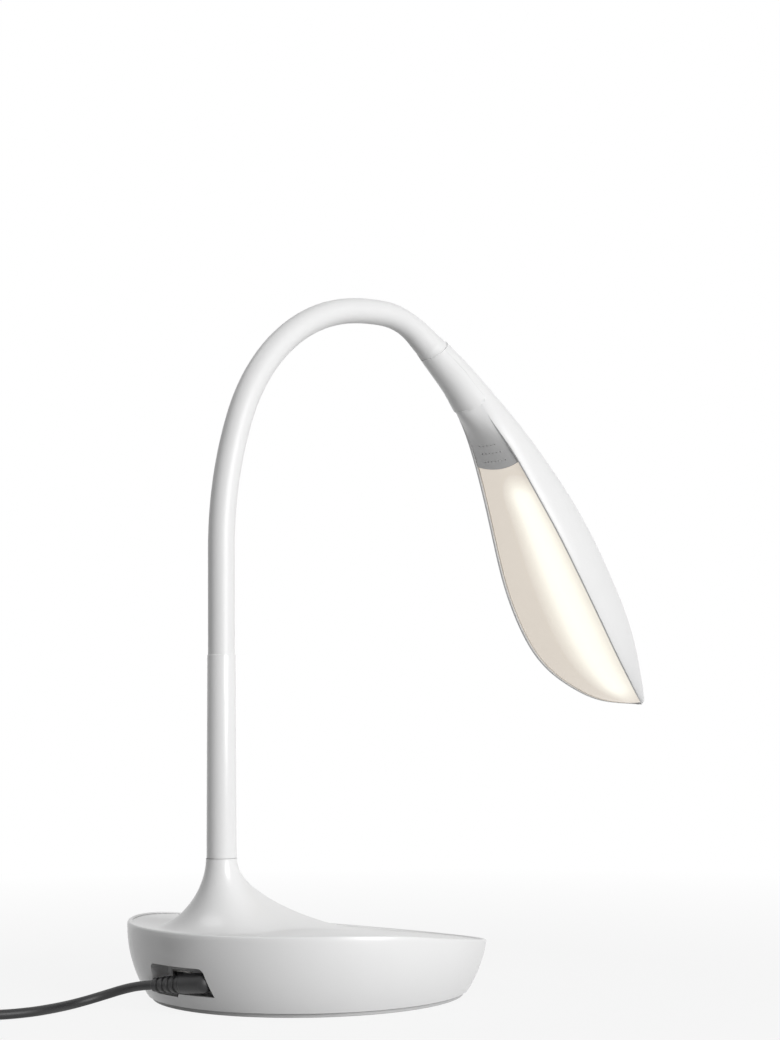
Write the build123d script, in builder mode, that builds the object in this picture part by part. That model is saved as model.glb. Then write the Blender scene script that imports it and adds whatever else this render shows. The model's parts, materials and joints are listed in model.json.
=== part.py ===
from build123d import *
import os
from math import asin, atan2, cos, dist, pi, radians, sin, tan

os.makedirs("parts", exist_ok=True)

# White gooseneck desk lamp, in millimetres. +Z is up and +X is the front, over which the head hangs.
# The origin is the middle of the base's underside. The lamp is symmetric about the XZ plane.

# ---------------------------------------------------------------- driving dimensions: base
rim_radius = 82.5          # outside of the wall at the back rim
rim_height = 35.0          # back rim above the table
belly_radius = 78.9        # outside of the wall where it bulges
belly_height = 13.0
wall_foot_radius = 73.2    # outside of the wall at its lower edge
foot_thick = 2.0           # rubber foot under the plate
foot_inset = 2.0           # the foot lies this far inside the wall's lower edge
wall = 2.2                 # moulded wall of the base
rim_lip = 1.3              # the wall is this thin beside the cover
rim_fall = 7.1             # degrees that the front of the rim slopes down
rim_bend_x = -52.0         # the rim is level behind this place
rim_bend_radius = 320.0    # bend between the level and the sloping rim
groove = 0.45              # gap between the rim and the cover
cover_sink = 0.7           # the cover lies this far below the rim
cover_thick = 2.2
ledge_depth = 4.0          # how far the ledge under the cover stands in from the rim
ledge_thick = 1.6
plate_thick = 2.2          # steel bottom plate
plate_gap = 0.4
post_ring = 64.0           # circle of the four screw posts
post_radius = 4.0
post_height = 10.0
rib_thick = 3.0
screw_radius = 1.5
screw_head_radius = 3.0
screw_head_thick = 1.4
screw_gap = 0.15
screw_bite = 7.0           # screw length in its post
screw_tip_gap = 0.5
small_screw_radius = 1.0
small_screw_head = 2.0

# ---------------------------------------------------------------- driving dimensions: flare and stem
neck_x = -53.0             # centre line of the stem
flare_top = 64.5
flare_top_radius = 6.85
flare_root = 33.4          # height of the flare's lowest section, on the stem's centre line
flare_tilt = 5.0           # that section leans forward by these degrees
flare_front = 95.0         # half axes of the lowest section
flare_side = 52.0
flare_back = 40.0
flare_power = 1.8          # roundness of the flare's hollow curve
flare_steps = 9
stem_foot_radius = 6.65
stem_top_radius = 6.3
stem_top = 154.2
stem_bore_radius = 4.15
shank_radius = 5.5         # the stem's hidden part inside the flare
shank_gap = 0.2
thread_radius = 5.2
thread_length = 6.5
bracket_thick = 2.5
bracket_front = -28.0
bracket_back = -74.0
bracket_half_width = 21.0
ferrule_radius = 9.0
ferrule_thick = 3.0
nut_radius = 9.0
nut_thick = 4.0
bracket_post_x = -34.0
bracket_post_y = 16.0

# ---------------------------------------------------------------- driving dimensions: sockets
recess_back_x = -68.5      # back wall of the recess for the sockets
recess_top = 20.3
recess_floor = 8.1
recess_half_top = 17.6
recess_half_floor = 19.5
recess_corner = 3.0
recess_wall = 2.0
notch_depth = 1.5          # the floor is lower where the plug's sleeve leaves
notch_y = 1.0
jack_y = -10.5
jack_z = 13.6
jack_half = 4.5
jack_bore = 2.85
jack_nose = 3.9
jack_length = 12.0
usb_y = 8.35
usb_z = 13.65
usb_width = 13.1
usb_height = 5.7
usb_length = 13.0
usb_wall = 0.5
usb_tongue_thick = 1.9
usb_tongue_rise = 0.9
usb_block = 1.5
tip_gap = 0.6
parts_x = -45.0            # parts on the board
capacitor_y = 14.0
capacitor_radius = 3.5
capacitor_height = 10.0
coil_can = 6.0
coil_can_height = 4.0
chip_side = 5.0
chip_thick = 1.5
board_thick = 1.6
board_lift = 3.3           # circuit board above the bottom plate
board_back = -66.0
board_front = -39.0
board_half_width = 24.0
standoff_radius = 2.6
standoff_inset = 3.4

# ---------------------------------------------------------------- driving dimensions: key and ballast
key_x = 51.0               # centre of the round touch key
key_radius = 13.5
key_gap = 0.3
key_dish = 1.2             # depth of the key's hollow
key_rim = 1.2
key_flange = 1.8
key_flange_thick = 1.0
ballast_x = 22.0
ballast_radius = 45.0
ballast_thick = 10.0

# ---------------------------------------------------------------- driving dimensions: neck
sleeve_radius = 6.0
sleeve_bore = 4.2
core_radius = 4.0
core_bore = 2.0
core_grip = 14.0           # how far the core reaches into the stem
core_reach = 26.0          # and into the head
neck_pieces = (            # length and turn, in degrees, of each stretch of the centre line
    (47.3, 0.0),
    (63.4, 21.0),
    (96.8, 59.0),
    (24.4, 10.0),
    (26.8, 32.0),
    (12.9, 0.0),
)
flex_ends = ((6.0, 46.0), (60.0, 98.0), (116.0, 160.0), (186.0, 226.0))  # the stretches that bend
cuff_length = 20.0
cuff_start_radius = 6.5
cuff_end_radius = 7.8

# ---------------------------------------------------------------- driving dimensions: head
head_tilt = 43.5           # the head's chord leans forward by these degrees from straight down
head_wall = 1.6
head_gap = 0.4
tube_flank = 0.53          # the parting height on a round section, as a share of its radius
# The head's sections along its chord. Round ones first: place, height of the centre, radius.
tube_sections = ((0.0, 0.2, 8.1), (13.5, 3.0, 9.1), (25.0, 5.0, 9.9))
# Then the hood: place, rim height, rim half width, belly height, belly half width, crown height,
# and how far the underside bulges below the rims.
hood_sections = (
    (37.0, -0.2, 9.6, 6.2, 11.4, 17.0, 5.0),
    (50.0, -0.1, 11.2, 6.8, 13.0, 19.4, 2.6),
    (63.0, -0.5, 13.7, 6.6, 15.4, 21.0, 1.0),
    (87.0, -4.3, 18.0, 2.8, 19.5, 23.4, 0.6),
    (112.5, -10.1, 22.8, -3.1, 24.3, 24.0, 0.6),
    (140.0, -17.0, 27.1, -10.2, 28.5, 21.6, 0.6),
    (168.0, -22.0, 29.0, -15.6, 30.1, 16.8, 0.6),
    (185.0, -23.4, 28.5, -17.6, 29.5, 13.4, 0.6),
    (201.0, -22.3, 26.1, -17.3, 26.9, 8.2, 0.6),
    (219.0, -17.8, 20.6, -14.1, 21.2, 1.0, 0.5),
    (235.5, -9.9, 12.3, -8.4, 12.6, -2.6, 0.4),
    (242.0, -4.6, 6.8, -4.0, 6.9, -1.7, 0.3),
    (246.4, -0.9, 1.8, -0.75, 1.85, 0.1, 0.1),
)
parting = ((-6.0, -1.9), (1.4, -0.1), (16.5, 3.4), (34.3, 4.8), (36.0, 2.8), (36.5, -1.0))
cavity_end = 236.0         # the hollow ends here, before the tip
cavity_drop = 6.0          # the hollow's cut runs on this far below the rims
cover_back = 34.0          # the flat underside cover starts here
band_start = 20.0
cover_round = 14.4         # round end of the underside cover
cover_round_place = 60.8
vent_rows = ((7.4, 7), (9.6, 9), (11.8, 11))  # radius and count of each row of vent holes
vent_radius = 0.5
vent_spread = 100.0
diffuser_sink = 0.5
diffuser_thick = 1.8
tray_start = (82.0, 6.0)   # the light tray's lower face runs between these places
tray_end = (222.0, -9.0)
tray_thick = 1.5
led_board_half = 7.0
led_board_thick = 1.2
led_board_inset = 5.0
led_count = 14
led_side = 3.2
led_thick = 0.9
tray_screw_y = 11.0
tray_screw_places = (26.0, 118.0)
boss_radius = 3.0
clamp_radius = 6.4
clamp_setback = 7.0        # the clamp starts this far inside the head
clamp_length = 14.0
wire_radius = 1.3
wire_bend = 12.0

# ---------------------------------------------------------------- driving dimensions: lead
plug_x = -76.0             # the right-angle plug's body crosses its barrel here
plug_swing = 5.0           # degrees that the sleeve points out from the base
plug_radius = 4.3
plug_tail = 7.4            # the plug's body reaches this far past the jack, and its sleeve the other way
plug_head = 8.5
plug_droop = 6.0           # degrees that the sleeve hangs down
plug_neck_radius = 3.6
sleeve_start_radius = 4.0
sleeve_end_radius = 3.0
sleeve_length = 17.5
sleeve_ribs = 4
barrel_radius = 2.75
barrel_bore = 1.25
barrel_length = 9.0
pin_radius = 1.0
plug_round = 0.9           # roundness of the plug's end
plug_gap = 0.4             # between the plug and the recess wall
groove_width = 1.3
run_share = 0.45
coil_step = 1.5
lead_diameter = 4.2        # width of the twin flex
first_run = 8.2
last_run = 11.0
coil_centre = (-158.0, 84.0)
coil_heading = 155.0       # direction in which the lead enters the coil, in degrees from +X
coil_inner = 18.6          # radius of the smallest half turn in a layer
coil_pitch = 4.7
coil_layer = 4.75
coil_halves = 4            # half turns in a layer
coil_layers = 4
coil_lift = 1.2            # the tie lies under the coil
coil_tail = 14.0
tie_thick = 0.9
tie_width = 4.0
tie_gap = 0.25
adapter_length = 46.0
adapter_width = 32.0
adapter_height = 27.0
adapter_edge = 4.0
adapter_relief_length = 18.0
blade_thick = 1.5
blade_width = 6.3
blade_length = 16.0
blade_spacing = 12.7
# Where the lead lies between the plug and the coil.
lead_middle = (
    (-80.6, 33.2, 7.8),
    (-85.0, 40.0, 5.3),
    (-92.2, 44.2, 3.2),
    (-101.4, 45.0, 2.1),
    (-112.6, 42.4, 2.1),
    (-125.0, 41.2, 2.1),
    (-139.6, 45.6, 2.1),
)

# ---------------------------------------------------------------- worked out from these
foot_radius = wall_foot_radius - foot_inset
plate_radius = wall_foot_radius - wall - plate_gap
plate_top = foot_thick + plate_thick
cover_depth = cover_sink + cover_thick
deck_edge = rim_lip + groove
board_top = plate_top + board_lift + board_thick
bracket_low = recess_top + recess_wall
bracket_top = bracket_low + bracket_thick
reach = 2 * rim_radius
tall = 2 * flare_top
screw_hole = screw_radius + screw_gap
fall = radians(rim_fall)


def write(name, node):
    """Label a finished piece and write its file."""
    node.part.label = name
    export_step(node.part, f"parts/{name}.step")


# ---------------------------------------------------------------- base forms
def rim_edges(drop):
    """Side view of the rim line, lowered by drop: level, then bent down to a straight slope."""
    level = rim_height - drop
    bent_x = rim_bend_x + rim_bend_radius * sin(fall)
    bent_z = level - rim_bend_radius * (1 - cos(fall))
    end_z = bent_z - (reach - bent_x) * tan(fall)
    half = fall / 2
    middle_x = rim_bend_x + rim_bend_radius * sin(half)
    middle_z = level - rim_bend_radius * (1 - cos(half))
    Line((-reach, level), (rim_bend_x, level))
    ThreePointArc((rim_bend_x, level), (middle_x, middle_z), (bent_x, bent_z))
    Line((bent_x, bent_z), (reach, end_z))
    return end_z


def deck_height(x):
    """Height of the sloping rim line at a place in front of its bend."""
    bent_x = rim_bend_x + rim_bend_radius * sin(fall)
    return rim_height - rim_bend_radius * (1 - cos(fall)) - (x - bent_x) * tan(fall)


def rim_slab(top, bottom):
    """Everything between the rim line lowered by top and the same line lowered by bottom."""
    with BuildPart() as slab:
        with BuildSketch(Plane.XZ):
            with BuildLine():
                high_end = rim_edges(top)
                low_end = rim_edges(bottom)
                Line((-reach, rim_height - top), (-reach, rim_height - bottom))
                Line((reach, high_end), (reach, low_end))
            make_face()
        extrude(amount=reach, both=True)
    return slab.part


def base_form(inset):
    """The solid of revolution inside the wall's outer face, moved in by inset."""
    with BuildPart() as form:
        with BuildSketch(Plane.XZ):
            with BuildLine():
                low = (wall_foot_radius - inset, foot_thick)
                high = (rim_radius - inset, rim_height)
                ThreePointArc(low, (belly_radius - inset, belly_height), high)
                Polyline(high, (rim_radius - inset, tall), (0, tall), (0, foot_thick), low)
            make_face()
        revolve(axis=Axis.Z)
    return form.part


def flare_axis(full, depth):
    """Half axis of the flare at a depth from 0, its top, to 1: a superellipse's hollow quarter."""
    share = (1 - depth**flare_power) ** (1 / flare_power)
    return full - (full - flare_top_radius) * share


def egg(front, side, back):
    """An egg of four quarter ellipses."""
    EllipticalCenterArc((0, 0), front, side, start_angle=0, arc_size=90)
    EllipticalCenterArc((0, 0), back, side, start_angle=90, arc_size=90)
    EllipticalCenterArc((0, 0), back, side, start_angle=180, arc_size=90)
    EllipticalCenterArc((0, 0), front, side, start_angle=270, arc_size=90)


def flare_form(inset, first_step):
    """The flare from one of its steps down, its face moved in and down by inset, on a straight skirt."""
    with BuildPart() as form:
        for step in range(first_step, flare_steps + 1):
            depth = sin(pi / 2 * step / flare_steps)
            lean = radians(flare_tilt * depth)
            height = flare_top - (flare_top - flare_root) * depth - inset
            place = Plane(
                origin=(neck_x, 0, height),
                x_dir=(cos(lean), 0, -sin(lean)),
                z_dir=(sin(lean), 0, cos(lean)),
            )
            with BuildSketch(place) as section:
                with BuildLine():
                    front = flare_axis(flare_front, depth) - inset
                    side = flare_axis(flare_side, depth) - inset
                    back = flare_axis(flare_back, depth) - inset
                    egg(front, side, back)
                make_face()
        loft()
        extrude(section.sketch, amount=-rim_height / 2)
    return form.part


outer_form = base_form(0)
inner_form = base_form(wall)
lip_form = base_form(rim_lip)
ledge_hole = base_form(ledge_depth)
deck_form = base_form(deck_edge)
deck_inner_form = base_form(deck_edge + wall)
above_rim = rim_slab(-tall, 0)
cover_space = rim_slab(-tall, cover_depth)
cover_slab = rim_slab(cover_sink, cover_depth)
ledge_slab = rim_slab(cover_depth, cover_depth + ledge_thick)
flare_outside = flare_form(0, 0)
flare_inside = flare_form(wall, 3)
post_turns = (45, 135, 225, 315)
post_places = [(post_ring * cos(radians(turn)), post_ring * sin(radians(turn))) for turn in post_turns]
recess_block_half = recess_half_floor + recess_wall
relief_room = recess_floor - notch_depth


# ---------------------------------------------------------------- base_shell
with BuildPart() as ledge:
    add(ledge_slab)
    add(outer_form, mode=Mode.INTERSECT)
    add(ledge_hole, mode=Mode.SUBTRACT)

with BuildPart() as socket_block:
    with Locations((recess_back_x + recess_wall, 0, relief_room - recess_wall)):
        Box(
            rim_radius,
            2 * recess_block_half,
            bracket_low - relief_room + recess_wall,
            align=(Align.MAX, Align.CENTER, Align.MIN),
        )
    add(outer_form, mode=Mode.INTERSECT)

with BuildPart() as base_shell:
    for turn in post_turns:
        with Locations(Location((0, 0, plate_top), (0, 0, turn))):
            with Locations((post_ring, 0, 0)):
                Cylinder(post_radius, post_height, align=(Align.CENTER, Align.CENTER, Align.MIN))
                Box(
                    rim_radius - post_ring,
                    rib_thick,
                    post_height,
                    align=(Align.MIN, Align.CENTER, Align.MIN),
                )
    add(outer_form, mode=Mode.INTERSECT)
    add(outer_form - inner_form)
    add(ledge.part)
    add(socket_block.part)
    add(lip_form & cover_space, mode=Mode.SUBTRACT)
    add(above_rim, mode=Mode.SUBTRACT)
    with BuildSketch(Plane.YZ.offset(recess_back_x)) as recess:
        with BuildLine():
            Polyline(
                (-recess_half_floor, recess_floor),
                (notch_y, recess_floor),
                (notch_y, relief_room),
                (recess_half_floor, relief_room),
                (recess_half_top, recess_top),
                (-recess_half_top, recess_top),
                close=True,
            )
        make_face()
        fillet(recess.vertices().group_by(Axis.Y)[-1], recess_corner)
    extrude(amount=-rim_radius, mode=Mode.SUBTRACT)
    with BuildSketch(Plane.YZ.offset(recess_back_x)):
        with Locations((jack_y, jack_z)):
            Circle(jack_nose + screw_gap)
        with Locations((usb_y, usb_z)):
            Rectangle(usb_width + 2 * screw_gap, usb_height + 2 * screw_gap)
    extrude(amount=recess_wall, mode=Mode.SUBTRACT)
    with Locations(*[(x, y, plate_top + screw_bite / 2) for x, y in post_places]):
        Cylinder(screw_radius + screw_gap, screw_bite, mode=Mode.SUBTRACT)
write("base_shell", base_shell)


# ---------------------------------------------------------------- top_cover and the touch key
key_plane = Plane(
    origin=(key_x, 0, deck_height(key_x) - cover_sink),
    x_dir=(cos(fall), 0, -sin(fall)),
    z_dir=(sin(fall), 0, cos(fall)),
)
key_flange_plane = key_plane.offset(-cover_thick)
key_board_plane = key_flange_plane.offset(-key_flange_thick)
dish_radius = key_radius - key_rim
dish_sphere = (dish_radius**2 + key_dish**2) / (2 * key_dish)

with BuildPart() as top_cover:
    add(flare_outside)
    add(cover_space, mode=Mode.INTERSECT)
    add(cover_slab)
    add(deck_form, mode=Mode.INTERSECT)
    add(flare_inside & deck_inner_form, mode=Mode.SUBTRACT)
    with Locations((neck_x, 0, flare_top)):
        Cylinder(shank_radius + shank_gap, flare_top, mode=Mode.SUBTRACT)
    with BuildSketch(key_plane):
        Circle(key_radius + key_gap)
    extrude(amount=2 * cover_thick, both=True, mode=Mode.SUBTRACT)
write("top_cover", top_cover)

with BuildPart() as touch_key:
    with BuildSketch(key_plane):
        Circle(key_radius)
    extrude(amount=-cover_thick)
    with BuildSketch(key_flange_plane):
        Circle(key_radius + key_flange)
    extrude(amount=-key_flange_thick)
    with Locations(key_plane.offset(dish_sphere - key_dish)):
        Sphere(dish_sphere, mode=Mode.SUBTRACT)
write("touch_key", touch_key)

with BuildPart() as touch_board:
    with BuildSketch(key_board_plane):
        Circle(dish_radius)
    extrude(amount=-led_board_thick)
write("touch_board", touch_board)

# ---------------------------------------------------------------- bottom plate, foot and ballast
board_middle = (board_back + board_front) / 2
standoff_places = [
    (board_middle + side * (board_front - board_back - 2 * standoff_inset) / 2, y)
    for side in (-1, 1)
    for y in (standoff_inset - board_half_width, board_half_width - standoff_inset)
]
bracket_posts = ((bracket_post_x, -bracket_post_y), (bracket_post_x, bracket_post_y))

with BuildPart() as bottom_plate:
    with BuildSketch(Plane.XY.offset(foot_thick)):
        Circle(plate_radius)
    extrude(amount=plate_thick)
    with BuildSketch(Plane.XY.offset(plate_top)):
        with Locations(*bracket_posts):
            Circle(post_radius)
    extrude(amount=bracket_low - plate_top)
    with BuildSketch(Plane.XY.offset(plate_top)):
        with Locations(*standoff_places):
            Circle(standoff_radius)
    extrude(amount=board_lift)
    with BuildSketch(Plane.XY.offset(foot_thick)):
        with Locations(*post_places):
            Circle(screw_head_radius + screw_gap)
    extrude(amount=screw_head_thick + screw_gap, mode=Mode.SUBTRACT)
    with BuildSketch(Plane.XY.offset(foot_thick)):
        with Locations(*post_places):
            Circle(screw_hole)
    extrude(amount=plate_thick, mode=Mode.SUBTRACT)
    with BuildSketch(Plane.XY.offset(bracket_low)):
        with Locations(*bracket_posts):
            Circle(screw_hole)
    extrude(amount=-screw_bite, mode=Mode.SUBTRACT)
    with BuildSketch(Plane.XY.offset(plate_top + board_lift)):
        with Locations(*standoff_places):
            Circle(small_screw_radius + screw_gap)
    extrude(amount=-board_lift, mode=Mode.SUBTRACT)
write("bottom_plate", bottom_plate)

with BuildPart() as foot_pad:
    with BuildSketch():
        Circle(foot_radius)
    extrude(amount=foot_thick)
write("foot_pad", foot_pad)

with BuildPart() as ballast_weight:
    with BuildSketch(Plane.XY.offset(plate_top)):
        with Locations((ballast_x, 0)):
            Circle(ballast_radius)
    extrude(amount=ballast_thick)
    chamfer(ballast_weight.edges().group_by(Axis.Z)[-1], board_thick / 2)
write("ballast_weight", ballast_weight)


def screws(places, head_low, head_radius, head_thick, radius, length):
    """A group of screws along Z: a head, and a shank of a length above it, or below if negative."""
    with BuildPart() as group:
        with BuildSketch(Plane.XY.offset(head_low)):
            with Locations(*places):
                Circle(head_radius)
        extrude(amount=head_thick)
        shank_start = head_low + head_thick if length > 0 else head_low
        with BuildSketch(Plane.XY.offset(shank_start)):
            with Locations(*places):
                Circle(radius)
        extrude(amount=length)
    return group


head_seat = foot_thick + screw_gap
bottom_screws = screws(
    post_places,
    head_seat,
    screw_head_radius,
    screw_head_thick,
    screw_radius,
    plate_top - head_seat - screw_head_thick + screw_bite - screw_tip_gap,
)
write("bottom_screws", bottom_screws)

# ---------------------------------------------------------------- driver board and sockets
with BuildPart() as driver_board:
    with BuildSketch(Plane.XY.offset(board_top - board_thick)):
        with Locations((board_middle, 0)):
            Rectangle(board_front - board_back, 2 * board_half_width)
        with Locations(*standoff_places):
            Circle(small_screw_radius + screw_gap, mode=Mode.SUBTRACT)
    extrude(amount=board_thick)
write("driver_board", driver_board)

board_screws = screws(
    standoff_places,
    board_top,
    small_screw_head,
    screw_head_thick,
    small_screw_radius,
    screw_tip_gap - board_thick - board_lift,
)
write("board_screws", board_screws)

with BuildPart() as driver_parts:
    with BuildSketch(Plane.XY.offset(board_top)):
        with Locations((parts_x, capacitor_y)):
            Circle(capacitor_radius)
    extrude(amount=capacitor_height)
    with BuildSketch(Plane.XY.offset(board_top)):
        with Locations((parts_x, 0)):
            Rectangle(coil_can, coil_can)
    extrude(amount=coil_can_height)
    with BuildSketch(Plane.XY.offset(board_top)):
        with Locations((parts_x, -capacitor_y)):
            Rectangle(chip_side, chip_side)
    extrude(amount=chip_thick)
write("driver_parts", driver_parts)

wall_inside_x = recess_back_x + recess_wall
with BuildPart() as dc_jack:
    with BuildSketch(Plane.YZ.offset(wall_inside_x)):
        with Locations((jack_y, board_top)):
            Rectangle(2 * jack_half, jack_z + jack_half - board_top, align=(Align.CENTER, Align.MIN))
    extrude(amount=jack_length)
    with BuildSketch(Plane.YZ.offset(recess_back_x)):
        with Locations((jack_y, jack_z)):
            Circle(jack_nose)
    extrude(amount=recess_wall)
    with BuildSketch(Plane.YZ.offset(recess_back_x)):
        with Locations((jack_y, jack_z)):
            Circle(jack_bore)
            Circle(pin_radius, mode=Mode.SUBTRACT)
    extrude(amount=barrel_length + tip_gap, mode=Mode.SUBTRACT)
write("dc_jack", dc_jack)

with BuildPart() as usb_shell:
    with BuildSketch(Plane.YZ.offset(recess_back_x)):
        with Locations((usb_y, usb_z)):
            Rectangle(usb_width, usb_height)
            Rectangle(usb_width - 2 * usb_wall, usb_height - 2 * usb_wall, mode=Mode.SUBTRACT)
    extrude(amount=usb_length)
write("usb_shell", usb_shell)

with BuildPart() as usb_core:
    with BuildSketch(Plane.YZ.offset(recess_back_x + usb_length)):
        with Locations((usb_y, board_top)):
            Rectangle(usb_width, usb_z + usb_height / 2 - board_top, align=(Align.CENTER, Align.MIN))
    extrude(amount=usb_block)
    with BuildSketch(Plane.YZ.offset(recess_back_x + usb_length)):
        with Locations((usb_y, usb_z)):
            Rectangle(usb_width - 2 * usb_wall - screw_gap, usb_height - 2 * usb_wall - screw_gap)
    extrude(amount=-usb_block)
    with BuildSketch(Plane.YZ.offset(recess_back_x + usb_length)):
        with Locations((usb_y, usb_z + usb_tongue_rise)):
            Rectangle(usb_width - 4 * usb_wall, usb_tongue_thick)
    extrude(amount=usb_block - usb_length)
    with BuildSketch(Plane.YZ.offset(wall_inside_x)):
        with Locations((usb_y, board_top)):
            Rectangle(usb_width, usb_z - usb_height / 2 - board_top, align=(Align.CENTER, Align.MIN))
    extrude(amount=usb_length - recess_wall)
write("usb_core", usb_core)

# ---------------------------------------------------------------- stem and its fixings
with BuildPart() as neck_bracket:
    with BuildSketch(Plane.XY.offset(bracket_low)):
        with Locations((bracket_back, 0)):
            Rectangle(bracket_front - bracket_back, 2 * bracket_half_width, align=(Align.MIN, Align.CENTER))
        with Locations((neck_x, 0)):
            Circle(thread_radius + shank_gap, mode=Mode.SUBTRACT)
        with Locations(*bracket_posts):
            Circle(screw_hole, mode=Mode.SUBTRACT)
    extrude(amount=bracket_thick)
write("neck_bracket", neck_bracket)

bracket_screws = screws(
    bracket_posts,
    bracket_top,
    screw_head_radius,
    screw_head_thick,
    screw_radius,
    screw_tip_gap - bracket_thick - screw_bite,
)
write("bracket_screws", bracket_screws)

with BuildPart() as neck_ferrule:
    with BuildSketch(Plane.XY.offset(bracket_top)):
        with Locations((neck_x, 0)):
            Circle(ferrule_radius)
            Circle(shank_radius + shank_gap, mode=Mode.SUBTRACT)
    extrude(amount=ferrule_thick)
write("neck_ferrule", neck_ferrule)

with BuildPart() as neck_nut:
    with BuildSketch(Plane.XY.offset(bracket_low)):
        with Locations((neck_x, 0)):
            RegularPolygon(nut_radius, 6)
            Circle(thread_radius + screw_gap, mode=Mode.SUBTRACT)
    extrude(amount=-nut_thick)
write("neck_nut", neck_nut)

stem_low = bracket_top - thread_length - bracket_thick / 2
with BuildPart() as stem_tube:
    with BuildSketch(Plane.XZ):
        with BuildLine():
            Polyline(
                (neck_x + stem_bore_radius, stem_low),
                (neck_x + thread_radius, stem_low),
                (neck_x + thread_radius, bracket_top),
                (neck_x + shank_radius, bracket_top),
                (neck_x + shank_radius, flare_top),
                (neck_x + stem_foot_radius, flare_top),
                (neck_x + stem_top_radius, stem_top),
                (neck_x + stem_bore_radius, stem_top),
                close=True,
            )
        make_face()
    revolve(axis=Axis((neck_x, 0, 0), (0, 0, 1)))
write("stem_tube", stem_tube)

with BuildPart() as base_wire:
    with BuildSketch(Plane.XY.offset(board_top)):
        with Locations((neck_x, 0)):
            Circle(wire_radius)
    extrude(amount=stem_low + thread_length - board_top)
write("base_wire", base_wire)


# ---------------------------------------------------------------- neck
def neck_state(along):
    """Place and heading, in radians from straight up, at a distance along the neck from the stem's top."""
    x, z, heading, start = neck_x, stem_top, 0.0, 0.0
    if along < 0:
        return x, z + along, heading
    for length, turn in neck_pieces:
        step = min(along, start + length) - start
        if turn:
            radius = length / radians(turn)
            ahead = heading + step / radius
            x += radius * (cos(heading) - cos(ahead))
            z += radius * (sin(ahead) - sin(heading))
            heading = ahead
        else:
            x += step * sin(heading)
            z += step * cos(heading)
        start += length
        if along <= start:
            return x, z, heading
    beyond = along - start
    return x + beyond * sin(heading), z + beyond * cos(heading), heading


def neck_place(along):
    """Point on the neck's centre line."""
    x, z, heading = neck_state(along)
    return (x, 0, z)


def neck_plane(along):
    """Plane square to the neck's centre line."""
    x, z, heading = neck_state(along)
    return Plane(origin=(x, 0, z), x_dir=(0, 1, 0), z_dir=(sin(heading), 0, cos(heading)))


def neck_line(start, end):
    """Lines and arcs of the neck's centre line between two distances."""
    breaks = [0.0]
    for length, turn in neck_pieces:
        breaks.append(breaks[-1] + length)
    stops = [start] + [b for b in breaks if start < b < end] + [end]
    for low, high in zip(stops, stops[1:]):
        first, middle, last = neck_place(low), neck_place((low + high) / 2), neck_place(high)
        if neck_state(low)[2] == neck_state(high)[2]:
            Line(first, last)
        else:
            ThreePointArc(first, middle, last)


def neck_tube(start, end, outer, bore):
    """A length of tube round the neck's centre line."""
    with BuildPart() as tube:
        with BuildLine() as path:
            neck_line(start, end)
        with BuildSketch(neck_plane(start)):
            Circle(outer)
            if bore:
                Circle(bore, mode=Mode.SUBTRACT)
        sweep(path=path.wire())
    return tube


neck_length = sum(length for length, turn in neck_pieces)
cuff_start = neck_length - cuff_length
fixed_starts = [0.0] + [end for start, end in flex_ends]
fixed_ends = [start for start, end in flex_ends] + [cuff_start]
for count, (start, end) in enumerate(zip(fixed_starts, fixed_ends)):
    first = count == 0
    last = count == len(flex_ends)
    write(f"neck_sleeve_{count}", neck_tube(start, end, sleeve_radius, sleeve_bore))
    core_start = -core_grip if first else start
    core_end = neck_length + core_reach if last else end
    write(f"neck_core_{count}", neck_tube(core_start, core_end, core_radius, core_bore))
for count, (start, end) in enumerate(flex_ends, 1):
    write(f"flex_sleeve_{count}", neck_tube(start, end, sleeve_radius, sleeve_bore))
    write(f"flex_core_{count}", neck_tube(start, end, core_radius, core_bore))

# ---------------------------------------------------------------- head forms
head_x, head_z, head_heading = neck_state(neck_length)
tilt = radians(head_tilt)
chord = (sin(tilt), 0, -cos(tilt))
across = (cos(tilt), 0, sin(tilt))
head_side = Plane(origin=(head_x, 0, head_z), x_dir=chord, z_dir=(0, -1, 0))
head_plan = Plane(origin=(head_x, 0, head_z), x_dir=chord, z_dir=across)
tube_stations = [
    (
        along,
        centre - tube_flank * radius,
        radius * cos(asin(tube_flank)),
        centre,
        radius,
        centre + radius,
        radius * (1 - tube_flank),
    )
    for along, centre, radius in tube_sections
]
stations = tube_stations + list(hood_sections)


def head_plane(along):
    """Plane square to the head's chord: its own x is the lamp's Y, and its own y points to the crown."""
    place = (head_x + along * chord[0], 0, head_z + along * chord[2])
    return Plane(origin=place, x_dir=(0, 1, 0), z_dir=chord)


def section_edges(station, inset, opened):
    """A head section: flanks from the rims out to the belly, a half ellipse on top, and the bottom."""
    along, rim_v, rim_w, belly_v, belly_w, crown_v, bulge = station
    low_w = rim_w - inset
    side_w = belly_w - inset
    middle_v = (rim_v + belly_v) / 2
    middle_w = side_w - (side_w - low_w) / 4
    ThreePointArc((low_w, rim_v), (middle_w, middle_v), (side_w, belly_v))
    crown_rise = crown_v - inset - belly_v
    EllipticalCenterArc((0, belly_v), side_w, crown_rise, start_angle=0, arc_size=90)
    EllipticalCenterArc((0, belly_v), side_w, crown_rise, start_angle=90, arc_size=90)
    ThreePointArc((-side_w, belly_v), (-middle_w, middle_v), (-low_w, rim_v))
    if opened:
        floor_v = rim_v - cavity_drop
        Polyline((-low_w, rim_v), (-low_w, floor_v), (low_w, floor_v), (low_w, rim_v))
    else:
        ThreePointArc((-low_w, rim_v), (0, rim_v - bulge + inset), (low_w, rim_v))


def head_form(chosen, inset, opened):
    """The head's form through the chosen stations, its walls moved in by inset."""
    with BuildPart() as form:
        for station in chosen:
            with BuildSketch(head_plane(station[0])):
                with BuildLine():
                    section_edges(station, inset, opened)
                make_face()
        loft()
    return form.part


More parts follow.
